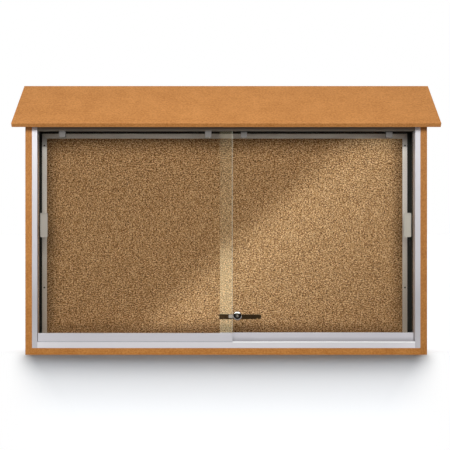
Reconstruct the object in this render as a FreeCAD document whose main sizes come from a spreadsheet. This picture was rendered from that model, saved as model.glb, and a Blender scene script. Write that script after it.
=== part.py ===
import FreeCAD, Part
import os

import Sketcher

# Lockable notice board with two sliding glass doors.
# Millimetres, +Z up, the front looks along -Y, the origin is under the middle of the whole board.

os.makedirs("parts", exist_ok=True)
doc = FreeCAD.newDocument("notice_board")
Vec = FreeCAD.Vector

# Driving sizes: name, value, what it is

SIZES = [
    ("case_width", 1143.0, "case over its side panels"),
    ("case_depth", 130.0, "case from its front face to the wall"),
    ("panel_thick", 19.0, "side and bottom panels"),
    ("thin_thick", 12.7, "top and back panels"),
    ("ceiling_height", 653.0, "underside of the top panel"),
    ("roof_thick", 12.7, "roof panel"),
    ("roof_slope_ratio", 0.787, "rise of the roof over its run"),
    ("roof_rest_gap", 0.6, "roof over the top panel at the case front"),
    ("roof_side_out", 32.0, "roof past each side panel"),
    ("eave_reach", 28.0, "lower corner of the eave ahead of the case front"),
    ("eave_round", 0.8, "rounded edges of the eave"),
    ("case_screw_margin", 20.0, "case screws from the edges of a panel"),
    ("back_screw_first", 170.0, "lowest screw of the back panel"),
    ("back_screw_step", 165.0, "screws up the back panel"),
    ("case_screw_head", 4.2, "head radius of the case screws"),
    ("case_screw_head_tall", 2.6, "head height of the case screws"),
    ("case_screw_head_play", 0.3, "radial clearance of the sunk heads"),
    ("case_screw_sink", 3.2, "counterbores of the case screws"),
    ("case_screw_shank", 2.0, "shank radius of the case screws"),
    ("case_screw_grip", 24.0, "case screws inside the panel they hold"),
    ("cleat_thick", 19.0, "roof cleats"),
    ("cleat_setback", 10.0, "roof cleats behind the case front"),
    ("cleat_place", 385.0, "outer roof cleats from the middle"),
    ("wall_hole_radius", 4.0, "mounting holes in the back panel"),
    ("wall_hole_mouth", 7.5, "radius of the mounting holes' countersinks"),
    ("wall_hole_span_x", 812.8, "mounting holes, sideways"),
    ("wall_hole_span_z", 457.2, "mounting holes, up and down"),
    ("frame_depth", 28.0, "aluminium frame from front to back"),
    ("metal_wall", 1.6, "walls of the frame profiles"),
    ("jamb_width", 15.0, "jamb face"),
    ("lip_height", 18.5, "front lip of the sill track"),
    ("lip_round", 0.6, "rounded edges of the front lip"),
    ("back_lip_height", 8.0, "back lip of the sill track"),
    ("rail_width", 2.4, "running rails of the sill track"),
    ("rail_round", 0.8, "rounded edges of the rails"),
    ("head_drop", 16.0, "fins of the head track"),
    ("head_round", 0.5, "rounded edges of the front fin"),
    ("jamb_round", 0.6, "rounded edges of the jambs"),
    ("track_screw_end", 43.5, "outer track screws from the ends of the tracks"),
    ("track_screw_shank", 1.5, "shank radius of the track screws"),
    ("track_screw_length", 12.0, "track screws under their heads"),
    ("track_screw_head", 3.2, "head radius of the track screws"),
    ("track_screw_head_tall", 1.8, "head height of the track screws"),
    ("front_plane", 7.4, "middle of the front pane behind the case front"),
    ("rear_plane", 20.6, "middle of the rear pane behind the case front"),
    ("door_lap", 36.0, "overlap of the two doors"),
    ("door_end_gap", 1.5, "door edge to jamb"),
    ("glass_thick", 5.0, "panes"),
    ("glass_top_gap", 8.0, "top edge of the panes under the top panel"),
    ("glass_bevel", 0.6, "ground corners of the panes"),
    ("shoe_width", 10.4, "door shoe from front to back"),
    ("shoe_wall", 1.2, "walls of the door shoe"),
    ("shoe_height", 29.6, "door shoe"),
    ("shoe_under_axle", 7.5, "lower edge of the shoe under the axles"),
    ("shoe_web_thick", 1.6, "web of the shoe"),
    ("shoe_round", 0.4, "rounded front edges of the shoe"),
    ("gasket_recess", 0.4, "gasket under the top of the shoe"),
    ("axle_over_floor", 19.5, "wheel axles over the bottom panel"),
    ("wheel_radius", 7.0, "wheel flanges"),
    ("wheel_roll_radius", 5.5, "wheel at the bottom of its groove"),
    ("wheel_width", 4.6, "wheels"),
    ("wheel_groove_play", 0.3, "rail to each side of the wheel's groove"),
    ("wheel_groove_slope", 0.4, "run of the groove's sloped sides"),
    ("wheel_gap", 0.3, "wheel to rail"),
    ("wheel_top_play", 1.5, "wheel to the shoe's web"),
    ("wheel_end_play", 0.8, "wheel to each end of the carrier's slot"),
    ("wheel_side_play", 0.4, "wheel to each side of the carrier's slot"),
    ("axle_radius", 1.5, "wheel axles"),
    ("running_fit", 0.05, "radial clearance of turning pieces"),
    ("carrier_length", 40.0, "roller carriers"),
    ("carrier_inset", 62.0, "middle of a carrier from the door's end"),
    ("carrier_under_axle", 4.5, "lower face of the carriers under the axles"),
    ("carrier_play", 0.1, "carrier to shoe wall"),
    ("carrier_corner", 1.5, "rounded corners of the carriers"),
    ("axle_fit", 0.02, "radial clearance of the axles in the carriers"),
    ("guide_width", 19.0, "top guides"),
    ("guide_inset", 69.0, "middle of a guide from the door's end"),
    ("guide_height", 29.0, "top guides"),
    ("guide_top_gap", 5.0, "upper edge of the guides under the top panel"),
    ("guide_round", 1.0, "rounded corners of the guides"),
    ("guide_thick", 10.4, "guides from front to back"),
    ("pull_width", 20.5, "finger pulls"),
    ("pull_height", 69.0, "finger pulls"),
    ("pull_inset", 17.0, "middle of a pull from the door's end"),
    ("pull_middle_z", 369.0, "middle of the pulls"),
    ("pull_thick", 4.0, "finger pulls at the grip"),
    ("pull_plate", 1.6, "finger pulls under the hollow"),
    ("pull_rim", 2.2, "rim over and under the hollow"),
    ("pull_grip", 4.5, "rim of the hollow on the grip side"),
    ("pull_edge", 1.6, "rim of the hollow on the other side"),
    ("pull_corner", 3.0, "rounded corners of the pulls"),
    ("pull_hollow_corner", 2.0, "rounded corners of the hollow"),
    ("board_side_gap", 12.0, "cork board to the side panels, when it sits in the middle"),
    ("board_low_gap", 12.0, "cork board over the bottom panel"),
    ("board_high_gap", 14.0, "cork board under the top panel"),
    ("board_shift", -4.4, "cork board off the middle, as in the photograph"),
    ("backer_thick", 6.0, "backer of the cork"),
    ("cork_thick", 6.0, "cork sheet"),
    ("trim_face", 14.0, "trims, seen from the front"),
    ("trim_wall", 2.0, "walls of the trims"),
    ("board_play", 0.2, "cork to trim"),
    ("trim_screw_low", 153.0, "lowest trim screw over the board's lower edge"),
    ("trim_screw_high", 35.0, "highest trim screw under the board's upper edge"),
    ("trim_screw_shank", 1.25, "shank radius of the trim screws"),
    ("trim_screw_length", 12.0, "trim screws under their heads"),
    ("trim_screw_head", 2.6, "head radius of the trim screws"),
    ("trim_screw_head_tall", 1.2, "head height of the trim screws"),
    ("screw_play", 0.15, "radial clearance of screw shanks"),
    ("bar_height", 14.5, "ratchet bar"),
    ("bar_thick", 1.5, "ratchet bar"),
    ("bar_middle_z", 106.8, "ratchet bar"),
    ("bar_reach", 118.0, "ratchet bar past the rear pane's edge"),
    ("bar_play", 0.3, "clearance around the ratchet bar"),
    ("bar_bend", 1.2, "outer radius of the bar's bends"),
    ("bar_end_round", 6.0, "rounded end of the bar"),
    ("bar_notch", 2.8, "radius of the notch under the bar's end"),
    ("bar_notch_place", 11.0, "notch from the bar's end"),
    ("hook_length", 12.0, "hook of the bar behind the pane"),
    ("pad_thick", 1.6, "pad between bar and pane"),
    ("pad_start", 1.0, "pad from the pane's edge"),
    ("pad_length", 21.0, "pad between bar and pane"),
    ("pad_margin", 0.5, "pad inside the bar's edges"),
    ("pad_corner", 1.0, "rounded corners of the pad"),
    ("rivet_place", 16.6, "rivet from the pane's edge"),
    ("rivet_radius", 1.5, "rivet shank"),
    ("rivet_head", 3.5, "rivet head"),
    ("rivet_flat", 2.0, "flat of the rivet head"),
    ("rivet_tall", 1.2, "rivet head height"),
    ("rivet_play", 0.1, "radial clearance of the rivet"),
    ("tooth_pitch", 3.2, "ratchet teeth"),
    ("tooth_depth", 2.2, "ratchet teeth"),
    ("tooth_run", 2.9, "sloped side of a tooth"),
    ("tooth_count", 23.0, "teeth on the bar"),
    ("lock_radius", 13.5, "lock housing"),
    ("lock_height", 111.0, "axis of the lock"),
    ("lock_out", 8.0, "lock housing ahead of the case front"),
    ("lock_round", 4.5, "rounded front edge of the housing"),
    ("lock_mouth_gap", 2.4, "groove in the housing's face around the plug"),
    ("lock_mouth_depth", 4.0, "groove in the housing's face around the plug"),
    ("lock_side_gap", 0.3, "lock housing to door edge and panes"),
    ("cover_thick", 1.0, "back cover of the lock"),
    ("cover_inset", 0.2, "back cover inside the housing's rim"),
    ("cover_screw_shank", 0.6, "shank radius of the cover screws"),
    ("cover_screw_head", 1.2, "head radius of the cover screws"),
    ("cover_screw_head_tall", 0.5, "head height of the cover screws"),
    ("cover_screw_length", 4.0, "cover screws under their heads"),
    ("cover_screw_inset", 2.2, "cover screws from the housing's rim"),
    ("cover_screw_play", 0.1, "radial clearance of the cover screws"),
    ("plug_radius", 6.0, "key plug"),
    ("plug_recess", 0.6, "plug face behind the housing's face"),
    ("plug_bevel", 0.6, "bevelled front edge of the plug"),
    ("plug_end_gap", 0.1, "plug to the pawl's chamber"),
    ("keyway_width", 1.8, "keyway"),
    ("keyway_height", 8.0, "keyway"),
    ("keyway_depth", 14.0, "keyway"),
    ("nose_reach", 11.2, "finger of the housing over the front pane"),
    ("nose_height", 9.4, "finger of the housing"),
    ("nose_thick", 2.7, "finger of the housing"),
    ("nose_drop", 2.2, "finger's middle under the axis of the lock"),
    ("nose_root", 3.0, "finger's root past the wall of the plug's bore"),
    ("nose_corner", 2.0, "rounded end of the finger"),
    ("crank_radius", 1.8, "drive pin off the plug's axis"),
    ("pin_radius", 1.0, "drive pin"),
    ("pawl_thick", 2.2, "pawl plate"),
    ("pawl_lift", 0.75, "pawl teeth over the bar when unlocked"),
    ("pawl_room", 0.5, "chamber deeper than the pawl and bar"),
    ("pawl_front_gap", 0.2, "pawl to the front of its chamber"),
    ("pawl_foot", 2.4, "foot of the pawl over its teeth"),
    ("pawl_margin", 0.2, "foot of the pawl past its teeth"),
    ("pawl_tooth_short", 0.3, "pawl teeth shorter than the bar's"),
    ("pawl_tooth_slim", 0.4, "pawl teeth slimmer than the bar's"),
    ("pawl_shank", 3.0, "pawl plate under its slot"),
    ("chamber_drop", 9.15, "pawl's chamber under the top of the bar"),
]

sheet = doc.addObject("Spreadsheet::Sheet", "Sizes")
for row, (name, value, note) in enumerate(SIZES, start=1):
    sheet.set("A%d" % row, note)
    sheet.set("B%d" % row, str(value))
    sheet.setAlias("B%d" % row, name)
doc.recompute()


class Size:
    """A number that remembers the sheet expression it comes from."""

    def __init__(self, number, text):
        self.number = float(number)
        self.text = text

    def __add__(self, other):
        other = size(other)
        return Size(self.number + other.number, "(%s + %s)" % (self.text, other.text))

    def __radd__(self, other):
        return size(other) + self

    def __sub__(self, other):
        other = size(other)
        return Size(self.number - other.number, "(%s - %s)" % (self.text, other.text))

    def __rsub__(self, other):
        return size(other) - self

    def __mul__(self, other):
        other = size(other)
        return Size(self.number * other.number, "(%s * %s)" % (self.text, other.text))

    def __rmul__(self, other):
        return size(other) * self

    def __truediv__(self, other):
        other = size(other)
        return Size(self.number / other.number, "(%s / %s)" % (self.text, other.text))

    def __neg__(self):
        return size(0) - self

    def root(self):
        """The square root."""
        return Size(self.number ** 0.5, "sqrt(%s)" % self.text)


def size(value):
    """A plain number as a Size."""
    if isinstance(value, Size):
        return value
    return Size(value, "(%s)" % format(float(value), ".6f"))


class Sheet:
    """Reads the driving sizes as attributes."""

    def __getattr__(self, name):
        return Size(sheet.get(name), "Sizes.%s" % name)


S = Sheet()


def bind(thing, prop, value):
    """Set a property from a size, by expression."""
    thing.setExpression(prop, size(value).text)


class Circle:
    """A circle in a sketch."""

    def __init__(self, u, v, radius):
        self.u = size(u)
        self.v = size(v)
        self.radius = size(radius)


PLANES = {"top": "XY_Plane", "front": "XZ_Plane", "side": "YZ_Plane"}


def pin(sketch, geometry, point, u, v):
    """Hold a point of a sketch at bound coordinates."""
    for kind, value in (("DistanceX", u), ("DistanceY", v)):
        number = sketch.addConstraint(
            Sketcher.Constraint(kind, -1, 1, geometry, point, value.number)
        )
        sketch.setExpression("Constraints[%d]" % number, value.text)


def draw(sketch, loops):
    """Draw closed outlines and circles, every point and radius bound to the sheet."""
    for loop in loops:
        first = sketch.GeometryCount
        if isinstance(loop, Circle):
            centre = Vec(loop.u.number, loop.v.number, 0)
            sketch.addGeometry(Part.Circle(centre, Vec(0, 0, 1), loop.radius.number))
            pin(sketch, first, 3, loop.u, loop.v)
            number = sketch.addConstraint(
                Sketcher.Constraint("Radius", first, loop.radius.number)
            )
            sketch.setExpression("Constraints[%d]" % number, loop.radius.text)
            continue
        points = [(size(u), size(v)) for u, v in loop]
        count = len(points)
        for i, (u, v) in enumerate(points):
            after = points[(i + 1) % count]
            start = Vec(u.number, v.number, 0)
            end = Vec(after[0].number, after[1].number, 0)
            sketch.addGeometry(Part.LineSegment(start, end))
        for i in range(count):
            sketch.addConstraint(
                Sketcher.Constraint("Coincident", first + i, 2, first + (i + 1) % count, 1)
            )
        for i, (u, v) in enumerate(points):
            pin(sketch, first + i, 1, u, v)


def rectangle(u0, v0, u1, v1):
    """A rectangle's four corners."""
    return [(u0, v0), (u1, v0), (u1, v1), (u0, v1)]


BODIES = []


def new_body(label, x=0.0, y=0.0, z=0.0):
    """A named body whose origin sits at a bound place."""
    body = doc.addObject("PartDesign::Body", label)
    body.Label = label
    for axis, value in (("x", x), ("y", y), ("z", z)):
        bind(body, "Placement.Base.%s" % axis, value)
    BODIES.append(body)
    return body


def new_sketch(body, plane, offset, loops):
    """A sketch on one of the body's origin planes, moved along the plane's normal."""
    sketch = body.newObject("Sketcher::SketchObject", body.Label + "_sketch")
    face = [f for f in body.Origin.OriginFeatures if f.Role == PLANES[plane]][0]
    sketch.AttachmentSupport = (face, [""])
    sketch.MapMode = "FlatFace"
    bind(sketch, "AttachmentOffset.Base.z", offset)
    draw(sketch, loops)
    return sketch


def extrude(body, plane, start, end, loops, cut=False):
    """Add or cut a straight piece between two places on the axis that crosses the plane."""
    start, end = size(start), size(end)
    # the normal of the front plane points along -Y
    offset = -end if plane == "front" else start
    sketch = new_sketch(body, plane, offset, loops)
    kind = "Pocket" if cut else "Pad"
    feature = body.newObject("PartDesign::" + kind, body.Label + "_" + kind.lower())
    feature.Profile = sketch
    bind(feature, "Length", end - start)
    feature.Reversed = cut
    sketch.Visibility = False
    doc.recompute()
    return feature


def turn(body, plane, loops, axis="H_Axis", cut=False):
    """Add or cut a piece turned about a sketch axis."""
    sketch = new_sketch(body, plane, 0.0, loops)
    kind = "Groove" if cut else "Revolution"
    feature = body.newObject("PartDesign::" + kind, body.Label + "_" + kind.lower())
    feature.Profile = sketch
    feature.ReferenceAxis = (sketch, [axis])
    feature.Angle = 360.0
    sketch.Visibility = False
    doc.recompute()
    return feature


def edges_of(feature, test):
    """Names of the feature's edges that pass a test of the edge."""
    names = []
    for number, edge in enumerate(feature.Shape.Edges, start=1):
        if test(edge):
            names.append("Edge%d" % number)
    return names


def along(axis, where=lambda p: True):
    """A test for straight edges along an axis, whose middle passes another test."""
    direction = {"x": Vec(1, 0, 0), "y": Vec(0, 1, 0), "z": Vec(0, 0, 1)}[axis]

    def test(edge):
        if edge.Curve.TypeId != "Part::GeomLine":
            return False
        middle = edge.valueAt((edge.FirstParameter + edge.LastParameter) / 2)
        return edge.Curve.Direction.cross(direction).Length < 1e-6 and where(middle)

    return test


def soften(body, test, amount, flat=False):
    """Round or bevel the edges of the body's last feature that pass a test."""
    last = body.Tip
    names = edges_of(last, test)
    kind = "Chamfer" if flat else "Fillet"
    feature = body.newObject("PartDesign::" + kind, body.Label + "_" + kind.lower())
    feature.Base = (last, names)
    bind(feature, "Size" if flat else "Radius", amount)
    doc.recompute()
    return feature


def screw_set(label, screws, head_radius, head_height, shank_radius, shank_length):
    """A group of like screws, each a seat point and the way its shank goes."""
    turns = {
        "+x": FreeCAD.Rotation(Vec(0, 1, 0), 90),
        "-x": FreeCAD.Rotation(Vec(0, 1, 0), -90),
        "+y": FreeCAD.Rotation(Vec(1, 0, 0), -90),
        "-y": FreeCAD.Rotation(Vec(1, 0, 0), 90),
        "+z": FreeCAD.Rotation(Vec(0, 0, 1), 0),
        "-z": FreeCAD.Rotation(Vec(1, 0, 0), 180),
    }
    made = []
    for number, (place, way) in enumerate(screws, start=1):
        sign = -1 if way[0] == "+" else 1
        pieces = []
        for part, radius, length, back in (
            ("head", head_radius, head_height, True),
            ("shank", shank_radius, shank_length, False),
        ):
            piece = doc.addObject("Part::Cylinder", "%s_%s_%d" % (label, part, number))
            bind(piece, "Radius", radius)
            bind(piece, "Height", length)
            piece.Placement = FreeCAD.Placement(Vec(0, 0, 0), turns[way])
            for axis, value in zip("xyz", place):
                if back and axis == way[1]:
                    value = size(value) + sign * size(length)
                bind(piece, "Placement.Base.%s" % axis, value)
            pieces.append(piece)
        screw = doc.addObject("Part::MultiFuse", "%s_%d" % (label, number))
        screw.Shapes = pieces
        made.append(screw)
    group = doc.addObject("Part::Compound", label)
    group.Label = label
    group.Links = made
    doc.recompute()
    BODIES.append(group)
    return group


# Shared places worked out from the driving sizes

pitch = S.roof_slope_ratio
slant = (pitch * pitch + 1).root()
eave_out = S.eave_reach + S.roof_thick * pitch / slant
front = eave_out - (eave_out + S.case_depth) / 2
inner = S.case_width / 2 - S.panel_thick
opening = inner - S.jamb_width
floor = S.panel_thick
back_face = S.case_depth - S.thin_thick
door_width = opening - S.door_end_gap + S.door_lap / 2
glass_top = S.ceiling_height - S.glass_top_gap
axle_height = floor + S.axle_over_floor
roof_rest = S.ceiling_height + S.thin_thick + S.roof_rest_gap
board_x = S.board_shift
board_low = floor + S.board_low_gap
board_high = S.ceiling_height - S.board_high_gap
board_z = (board_low + board_high) / 2
sides = (("left", -1), ("right", 1))


def roof_under(depth):
    """Underside of the roof at a depth behind the case front."""
    return roof_rest + size(depth) * pitch


# Places of the case screws: depth and height of each on a side panel

def row_of_three(length):
    """Three screws across a panel: one near each edge and one in the middle."""
    return (S.case_screw_margin, length / 2, length - S.case_screw_margin)


bottom_spots = [(place, floor / 2) for place in row_of_three(S.case_depth)]
top_spots = [(place, S.ceiling_height + S.thin_thick / 2) for place in row_of_three(back_face)]
back_spots = [
    (S.case_depth - S.thin_thick / 2, S.back_screw_first + S.back_screw_step * step) for step in range(3)
]
side_spots = bottom_spots + top_spots + back_spots


def end_holes(body, spots, y, z):
    """Screw holes in both ends of a panel that stands between the side panels."""
    radius = S.case_screw_shank + S.screw_play
    loops = [Circle(spot[0] - y, spot[1] - z, radius) for spot in spots]
    extrude(body, "side", inner - S.case_screw_grip - 1, inner, loops, cut=True)
    extrude(body, "side", -inner, -inner + S.case_screw_grip + 1, loops, cut=True)


# Case

head_hole = S.case_screw_head + S.case_screw_head_play
for side, sign in sides:
    panel = new_body("side_panel_" + side, sign * S.case_width / 2, front)
    start, end = (0, S.panel_thick) if sign < 0 else (-S.panel_thick, 0)
    outline = [(0, 0), (S.case_depth, 0), (S.case_depth, roof_under(S.case_depth)), (0, roof_under(0))]
    extrude(panel, "side", start, end, [outline])
    heads = [Circle(spot[0], spot[1], head_hole) for spot in side_spots]
    shanks = [Circle(spot[0], spot[1], S.case_screw_shank + S.screw_play) for spot in side_spots]
    if sign < 0:
        extrude(panel, "side", 0, S.case_screw_sink, heads, cut=True)
    else:
        extrude(panel, "side", -S.case_screw_sink, 0, heads, cut=True)
    extrude(panel, "side", start, end, shanks, cut=True)

bottom = new_body("bottom_panel", 0, front)
extrude(bottom, "side", -inner, inner, [rectangle(0, 0, S.case_depth, floor)])
end_holes(bottom, bottom_spots, 0, 0)

top = new_body("top_panel", 0, front, S.ceiling_height)
extrude(top, "side", -inner, inner, [rectangle(0, 0, back_face, S.thin_thick)])
end_holes(top, top_spots, 0, S.ceiling_height)

back = new_body("back_panel", 0, front)
extrude(
    back,
    "side",
    -inner,
    inner,
    [[(back_face, floor), (S.case_depth, floor),
      (S.case_depth, roof_under(S.case_depth)), (back_face, roof_under(back_face))]],
)
end_holes(back, back_spots, 0, 0)
wall_holes = []
for side_x in (-1, 1):
    for side_z in (-1, 1):
        hole_x = side_x * S.wall_hole_span_x / 2
        hole_z = board_z + side_z * S.wall_hole_span_z / 2
        wall_holes.append(Circle(hole_x, hole_z, S.wall_hole_radius))
wall_drill = back.newObject("PartDesign::Hole", "wall_holes")
wall_drill.Profile = new_sketch(back, "front", -back_face, wall_holes)
doc.recompute()
wall_drill.DepthType = "ThroughAll"
wall_drill.HoleCutType = "Countersink"
wall_drill.HoleCutCustomValues = True
wall_drill.HoleCutCountersinkAngle = 90.0
bind(wall_drill, "Diameter", 2 * S.wall_hole_radius)
bind(wall_drill, "HoleCutDiameter", 2 * S.wall_hole_mouth)
doc.recompute()

roof = new_body("roof_panel", 0, front)
roof_half = S.case_width / 2 + S.roof_side_out
eave_low = roof_under(-S.eave_reach)
extrude(
    roof,
    "side",
    -roof_half,
    roof_half,
    [[(-S.eave_reach, eave_low),
      (S.case_depth, roof_under(S.case_depth)),
      (S.case_depth, roof_under(S.case_depth) + S.roof_thick * slant),
      (-eave_out, eave_low + S.roof_thick / slant)]],
)
soften(roof, along("x", lambda p: p.y < 0), S.eave_round)

cleat_top = S.ceiling_height + S.thin_thick
for name, middle in (("left", -S.cleat_place), ("middle", size(0)), ("right", S.cleat_place)):
    cleat = new_body("roof_cleat_" + name, middle, front)
    extrude(
        cleat,
        "side",
        -S.cleat_thick / 2,
        S.cleat_thick / 2,
        [[(S.cleat_setback, cleat_top), (back_face, cleat_top),
          (back_face, roof_under(back_face)), (S.cleat_setback, roof_under(S.cleat_setback))]],
    )

case_screws = []
for side, sign in sides:
    for depth, height in side_spots:
        seat = sign * (S.case_width / 2 - S.case_screw_sink)
        case_screws.append(((seat, front + depth, height), "+x" if sign < 0 else "-x"))
case_screw_length = S.panel_thick - S.case_screw_sink + S.case_screw_grip
screw_set(
    "case_screws",
    case_screws,
    S.case_screw_head,
    S.case_screw_head_tall,
    S.case_screw_shank,
    case_screw_length,
)

# Aluminium frame in the front opening

metal = S.metal_wall
depth = S.frame_depth
rail_half = S.rail_width / 2
rail_top = S.axle_over_floor - S.wheel_roll_radius - S.wheel_gap
track_hole = S.track_screw_shank + S.screw_play
sill_screw_depth = (S.front_plane + S.rear_plane) / 2
track_places = [(opening - S.track_screw_end) * step / 2 for step in (-2, -1, 0, 1, 2)]

sill = new_body("sill_track", 0, front, floor)
profile = [
    (0, 0),
    (depth, 0),
    (depth, S.back_lip_height),
    (depth - metal, S.back_lip_height),
    (depth - metal, metal),
]
for plane in (S.rear_plane, S.front_plane):
    profile += [
        (plane + rail_half, metal),
        (plane + rail_half, rail_top),
        (plane - rail_half, rail_top),
        (plane - rail_half, metal),
    ]
profile += [(metal, metal), (metal, S.lip_height), (0, S.lip_height)]
extrude(sill, "side", -opening, opening, [profile])
rail_z = rail_top.number
soften(sill, along("x", lambda p: abs(p.z - rail_z) < 0.01), S.rail_round)
lip_z = S.lip_height.number
soften(sill, along("x", lambda p: abs(p.z - lip_z) < 0.01), S.lip_round)
extrude(sill, "top", 0, metal, [Circle(x, sill_screw_depth, track_hole) for x in track_places], cut=True)
extrude(
    bottom,
    "top",
    floor - S.track_screw_length,
    floor,
    [Circle(x, sill_screw_depth, track_hole) for x in track_places],
    cut=True,
)

head = new_body("head_track", 0, front, S.ceiling_height)
fin = (S.front_plane + S.rear_plane) / 2
extrude(
    head,
    "side",
    -opening,
    opening,
    [[(0, 0), (0, -S.head_drop), (metal, -S.head_drop), (metal, -metal),
      (fin - metal / 2, -metal), (fin - metal / 2, -S.head_drop),
      (fin + metal / 2, -S.head_drop), (fin + metal / 2, -metal),
      (depth - metal, -metal), (depth - metal, -S.head_drop), (depth, -S.head_drop), (depth, 0)]],
)
drop_z = -S.head_drop.number
fin_y = metal.number
soften(head, along("x", lambda p: abs(p.z - drop_z) < 0.01 and p.y < fin_y + 0.01), S.head_round)
extrude(head, "top", -metal, 0, [Circle(x, S.front_plane, track_hole) for x in track_places], cut=True)
extrude(
    top,
    "top",
    0,
    S.track_screw_length - metal + 1,
    [Circle(x, S.front_plane, track_hole) for x in track_places],
    cut=True,
)

for side, sign in sides:
    jamb = new_body("jamb_" + side, sign * opening, front)
    out = sign * S.jamb_width
    web = sign * metal
    extrude(
        jamb,
        "top",
        floor,
        S.ceiling_height,
        [[(0, 0), (out, 0), (out, metal), (web, metal),
          (web, depth - metal), (out, depth - metal), (out, depth), (0, depth)]],
    )
    soften(jamb, along("z", lambda p: abs(p.x) < 0.01), S.jamb_round)

track_screws = []
for x in track_places:
    track_screws.append(((x, front + sill_screw_depth, floor + metal), "-z"))
    track_screws.append(((x, front + S.front_plane, S.ceiling_height - metal), "+z"))
screw_set(
    "track_screws",
    track_screws,
    S.track_screw_head,
    S.track_screw_head_tall,
    S.track_screw_shank,
    S.track_screw_length,
)

# Cork board

half_w = inner - S.board_side_gap
half_h = (board_high - board_low) / 2
wall = S.trim_wall
backer_front = back_face - S.backer_thick
cork_front = backer_front - S.cork_thick
trim_front = cork_front - wall
inside_w = half_w - wall - S.board_play
inside_h = half_h - wall - S.board_play
trim_screw_hole = S.trim_screw_shank + S.screw_play
trim_screw_low = S.trim_screw_low - half_h
trim_screw_high = half_h - S.trim_screw_high
trim_screw_heights = (trim_screw_low, (trim_screw_low + trim_screw_high) / 2, trim_screw_high)
trim_spots = []
for side, sign in sides:
    for height in trim_screw_heights:
        trim_spots.append((sign * (half_w - S.trim_face / 2), height))
trim_holes = [Circle(u, v, trim_screw_hole) for u, v in trim_spots]

for label, start, end in (
    ("cork_backer", backer_front, back_face),
    ("cork_sheet", cork_front, backer_front),
):
    sheet_body = new_body(label, board_x, front, board_z)
    extrude(sheet_body, "front", start, end, [rectangle(-inside_w, -inside_h, inside_w, inside_h)])
    extrude(sheet_body, "front", start, end, trim_holes, cut=True)

face = S.trim_face
for side, sign in sides:
    trim = new_body("cork_trim_" + side, board_x, front, board_z)
    edge = sign * half_w
    profile = [
        (edge, trim_front),
        (edge, back_face),
        (edge - sign * wall, back_face),
        (edge - sign * wall, cork_front),
        (edge - sign * face, cork_front),
        (edge - sign * face, trim_front),
    ]
    extrude(trim, "top", -half_h, half_h, [profile])
    corners = []
    for up in (-1, 1):
        z = up * half_h
        corners.append([(edge + sign, z + up), (edge - sign * face - sign, z + up),
                        (edge - sign * face - sign, z - up * face - up)])
    extrude(trim, "front", trim_front - 1, back_face + 1, corners, cut=True)
    extrude(
        trim,
        "front",
        trim_front,
        cork_front,
        [Circle(u, v, trim_screw_hole) for u, v in trim_spots if u.number * sign > 0],
        cut=True,
    )

for name, up in (("bottom", -1), ("top", 1)):
    trim = new_body("cork_trim_" + name, board_x, front, board_z)
    edge = up * half_h
    profile = [
        (trim_front, edge),
        (back_face, edge),
        (back_face, edge - up * wall),
        (cork_front, edge - up * wall),
        (cork_front, edge - up * face),
        (trim_front, edge - up * face),
    ]
    extrude(trim, "side", -half_w, half_w, [profile])
    corners = []
    for side, sign in sides:
        x = sign * half_w
        corners.append([(x + sign, edge + up), (x + sign, edge - up * face - up),
                        (x - sign * face - sign, edge - up * face - up)])
    extrude(trim, "front", trim_front - 1, back_face + 1, corners, cut=True)

trim_screws = [((board_x + u, front + trim_front, board_z + v), "+y") for u, v in trim_spots]
screw_set(
    "trim_screws",
    trim_screws,
    S.trim_screw_head,
    S.trim_screw_head_tall,
    S.trim_screw_shank,
    S.trim_screw_length,
)

# Sliding doors

half_glass = S.glass_thick / 2
half_shoe = S.shoe_width / 2
channel = half_shoe - S.shoe_wall
shoe_bottom = axle_height - S.shoe_under_axle
shoe_top = shoe_bottom + S.shoe_height
shoe_web = axle_height + S.wheel_radius + S.wheel_top_play
web_top = shoe_web + S.shoe_web_thick
gasket = channel - half_glass
gasket_top = shoe_top - S.gasket_recess
carrier_bottom = axle_height - S.carrier_under_axle
half_carrier = channel - S.carrier_play
half_length = S.carrier_length / 2
slot_half = S.wheel_width / 2 + S.wheel_side_play
slot_reach = S.wheel_radius + S.wheel_end_play
half_wheel = S.wheel_width / 2
half_groove = rail_half + S.wheel_groove_play
groove_mouth = half_groove + S.wheel_groove_slope
guide_top = S.ceiling_height - S.guide_top_gap
guide_bottom = guide_top - S.guide_height
half_door = door_width / 2

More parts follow.
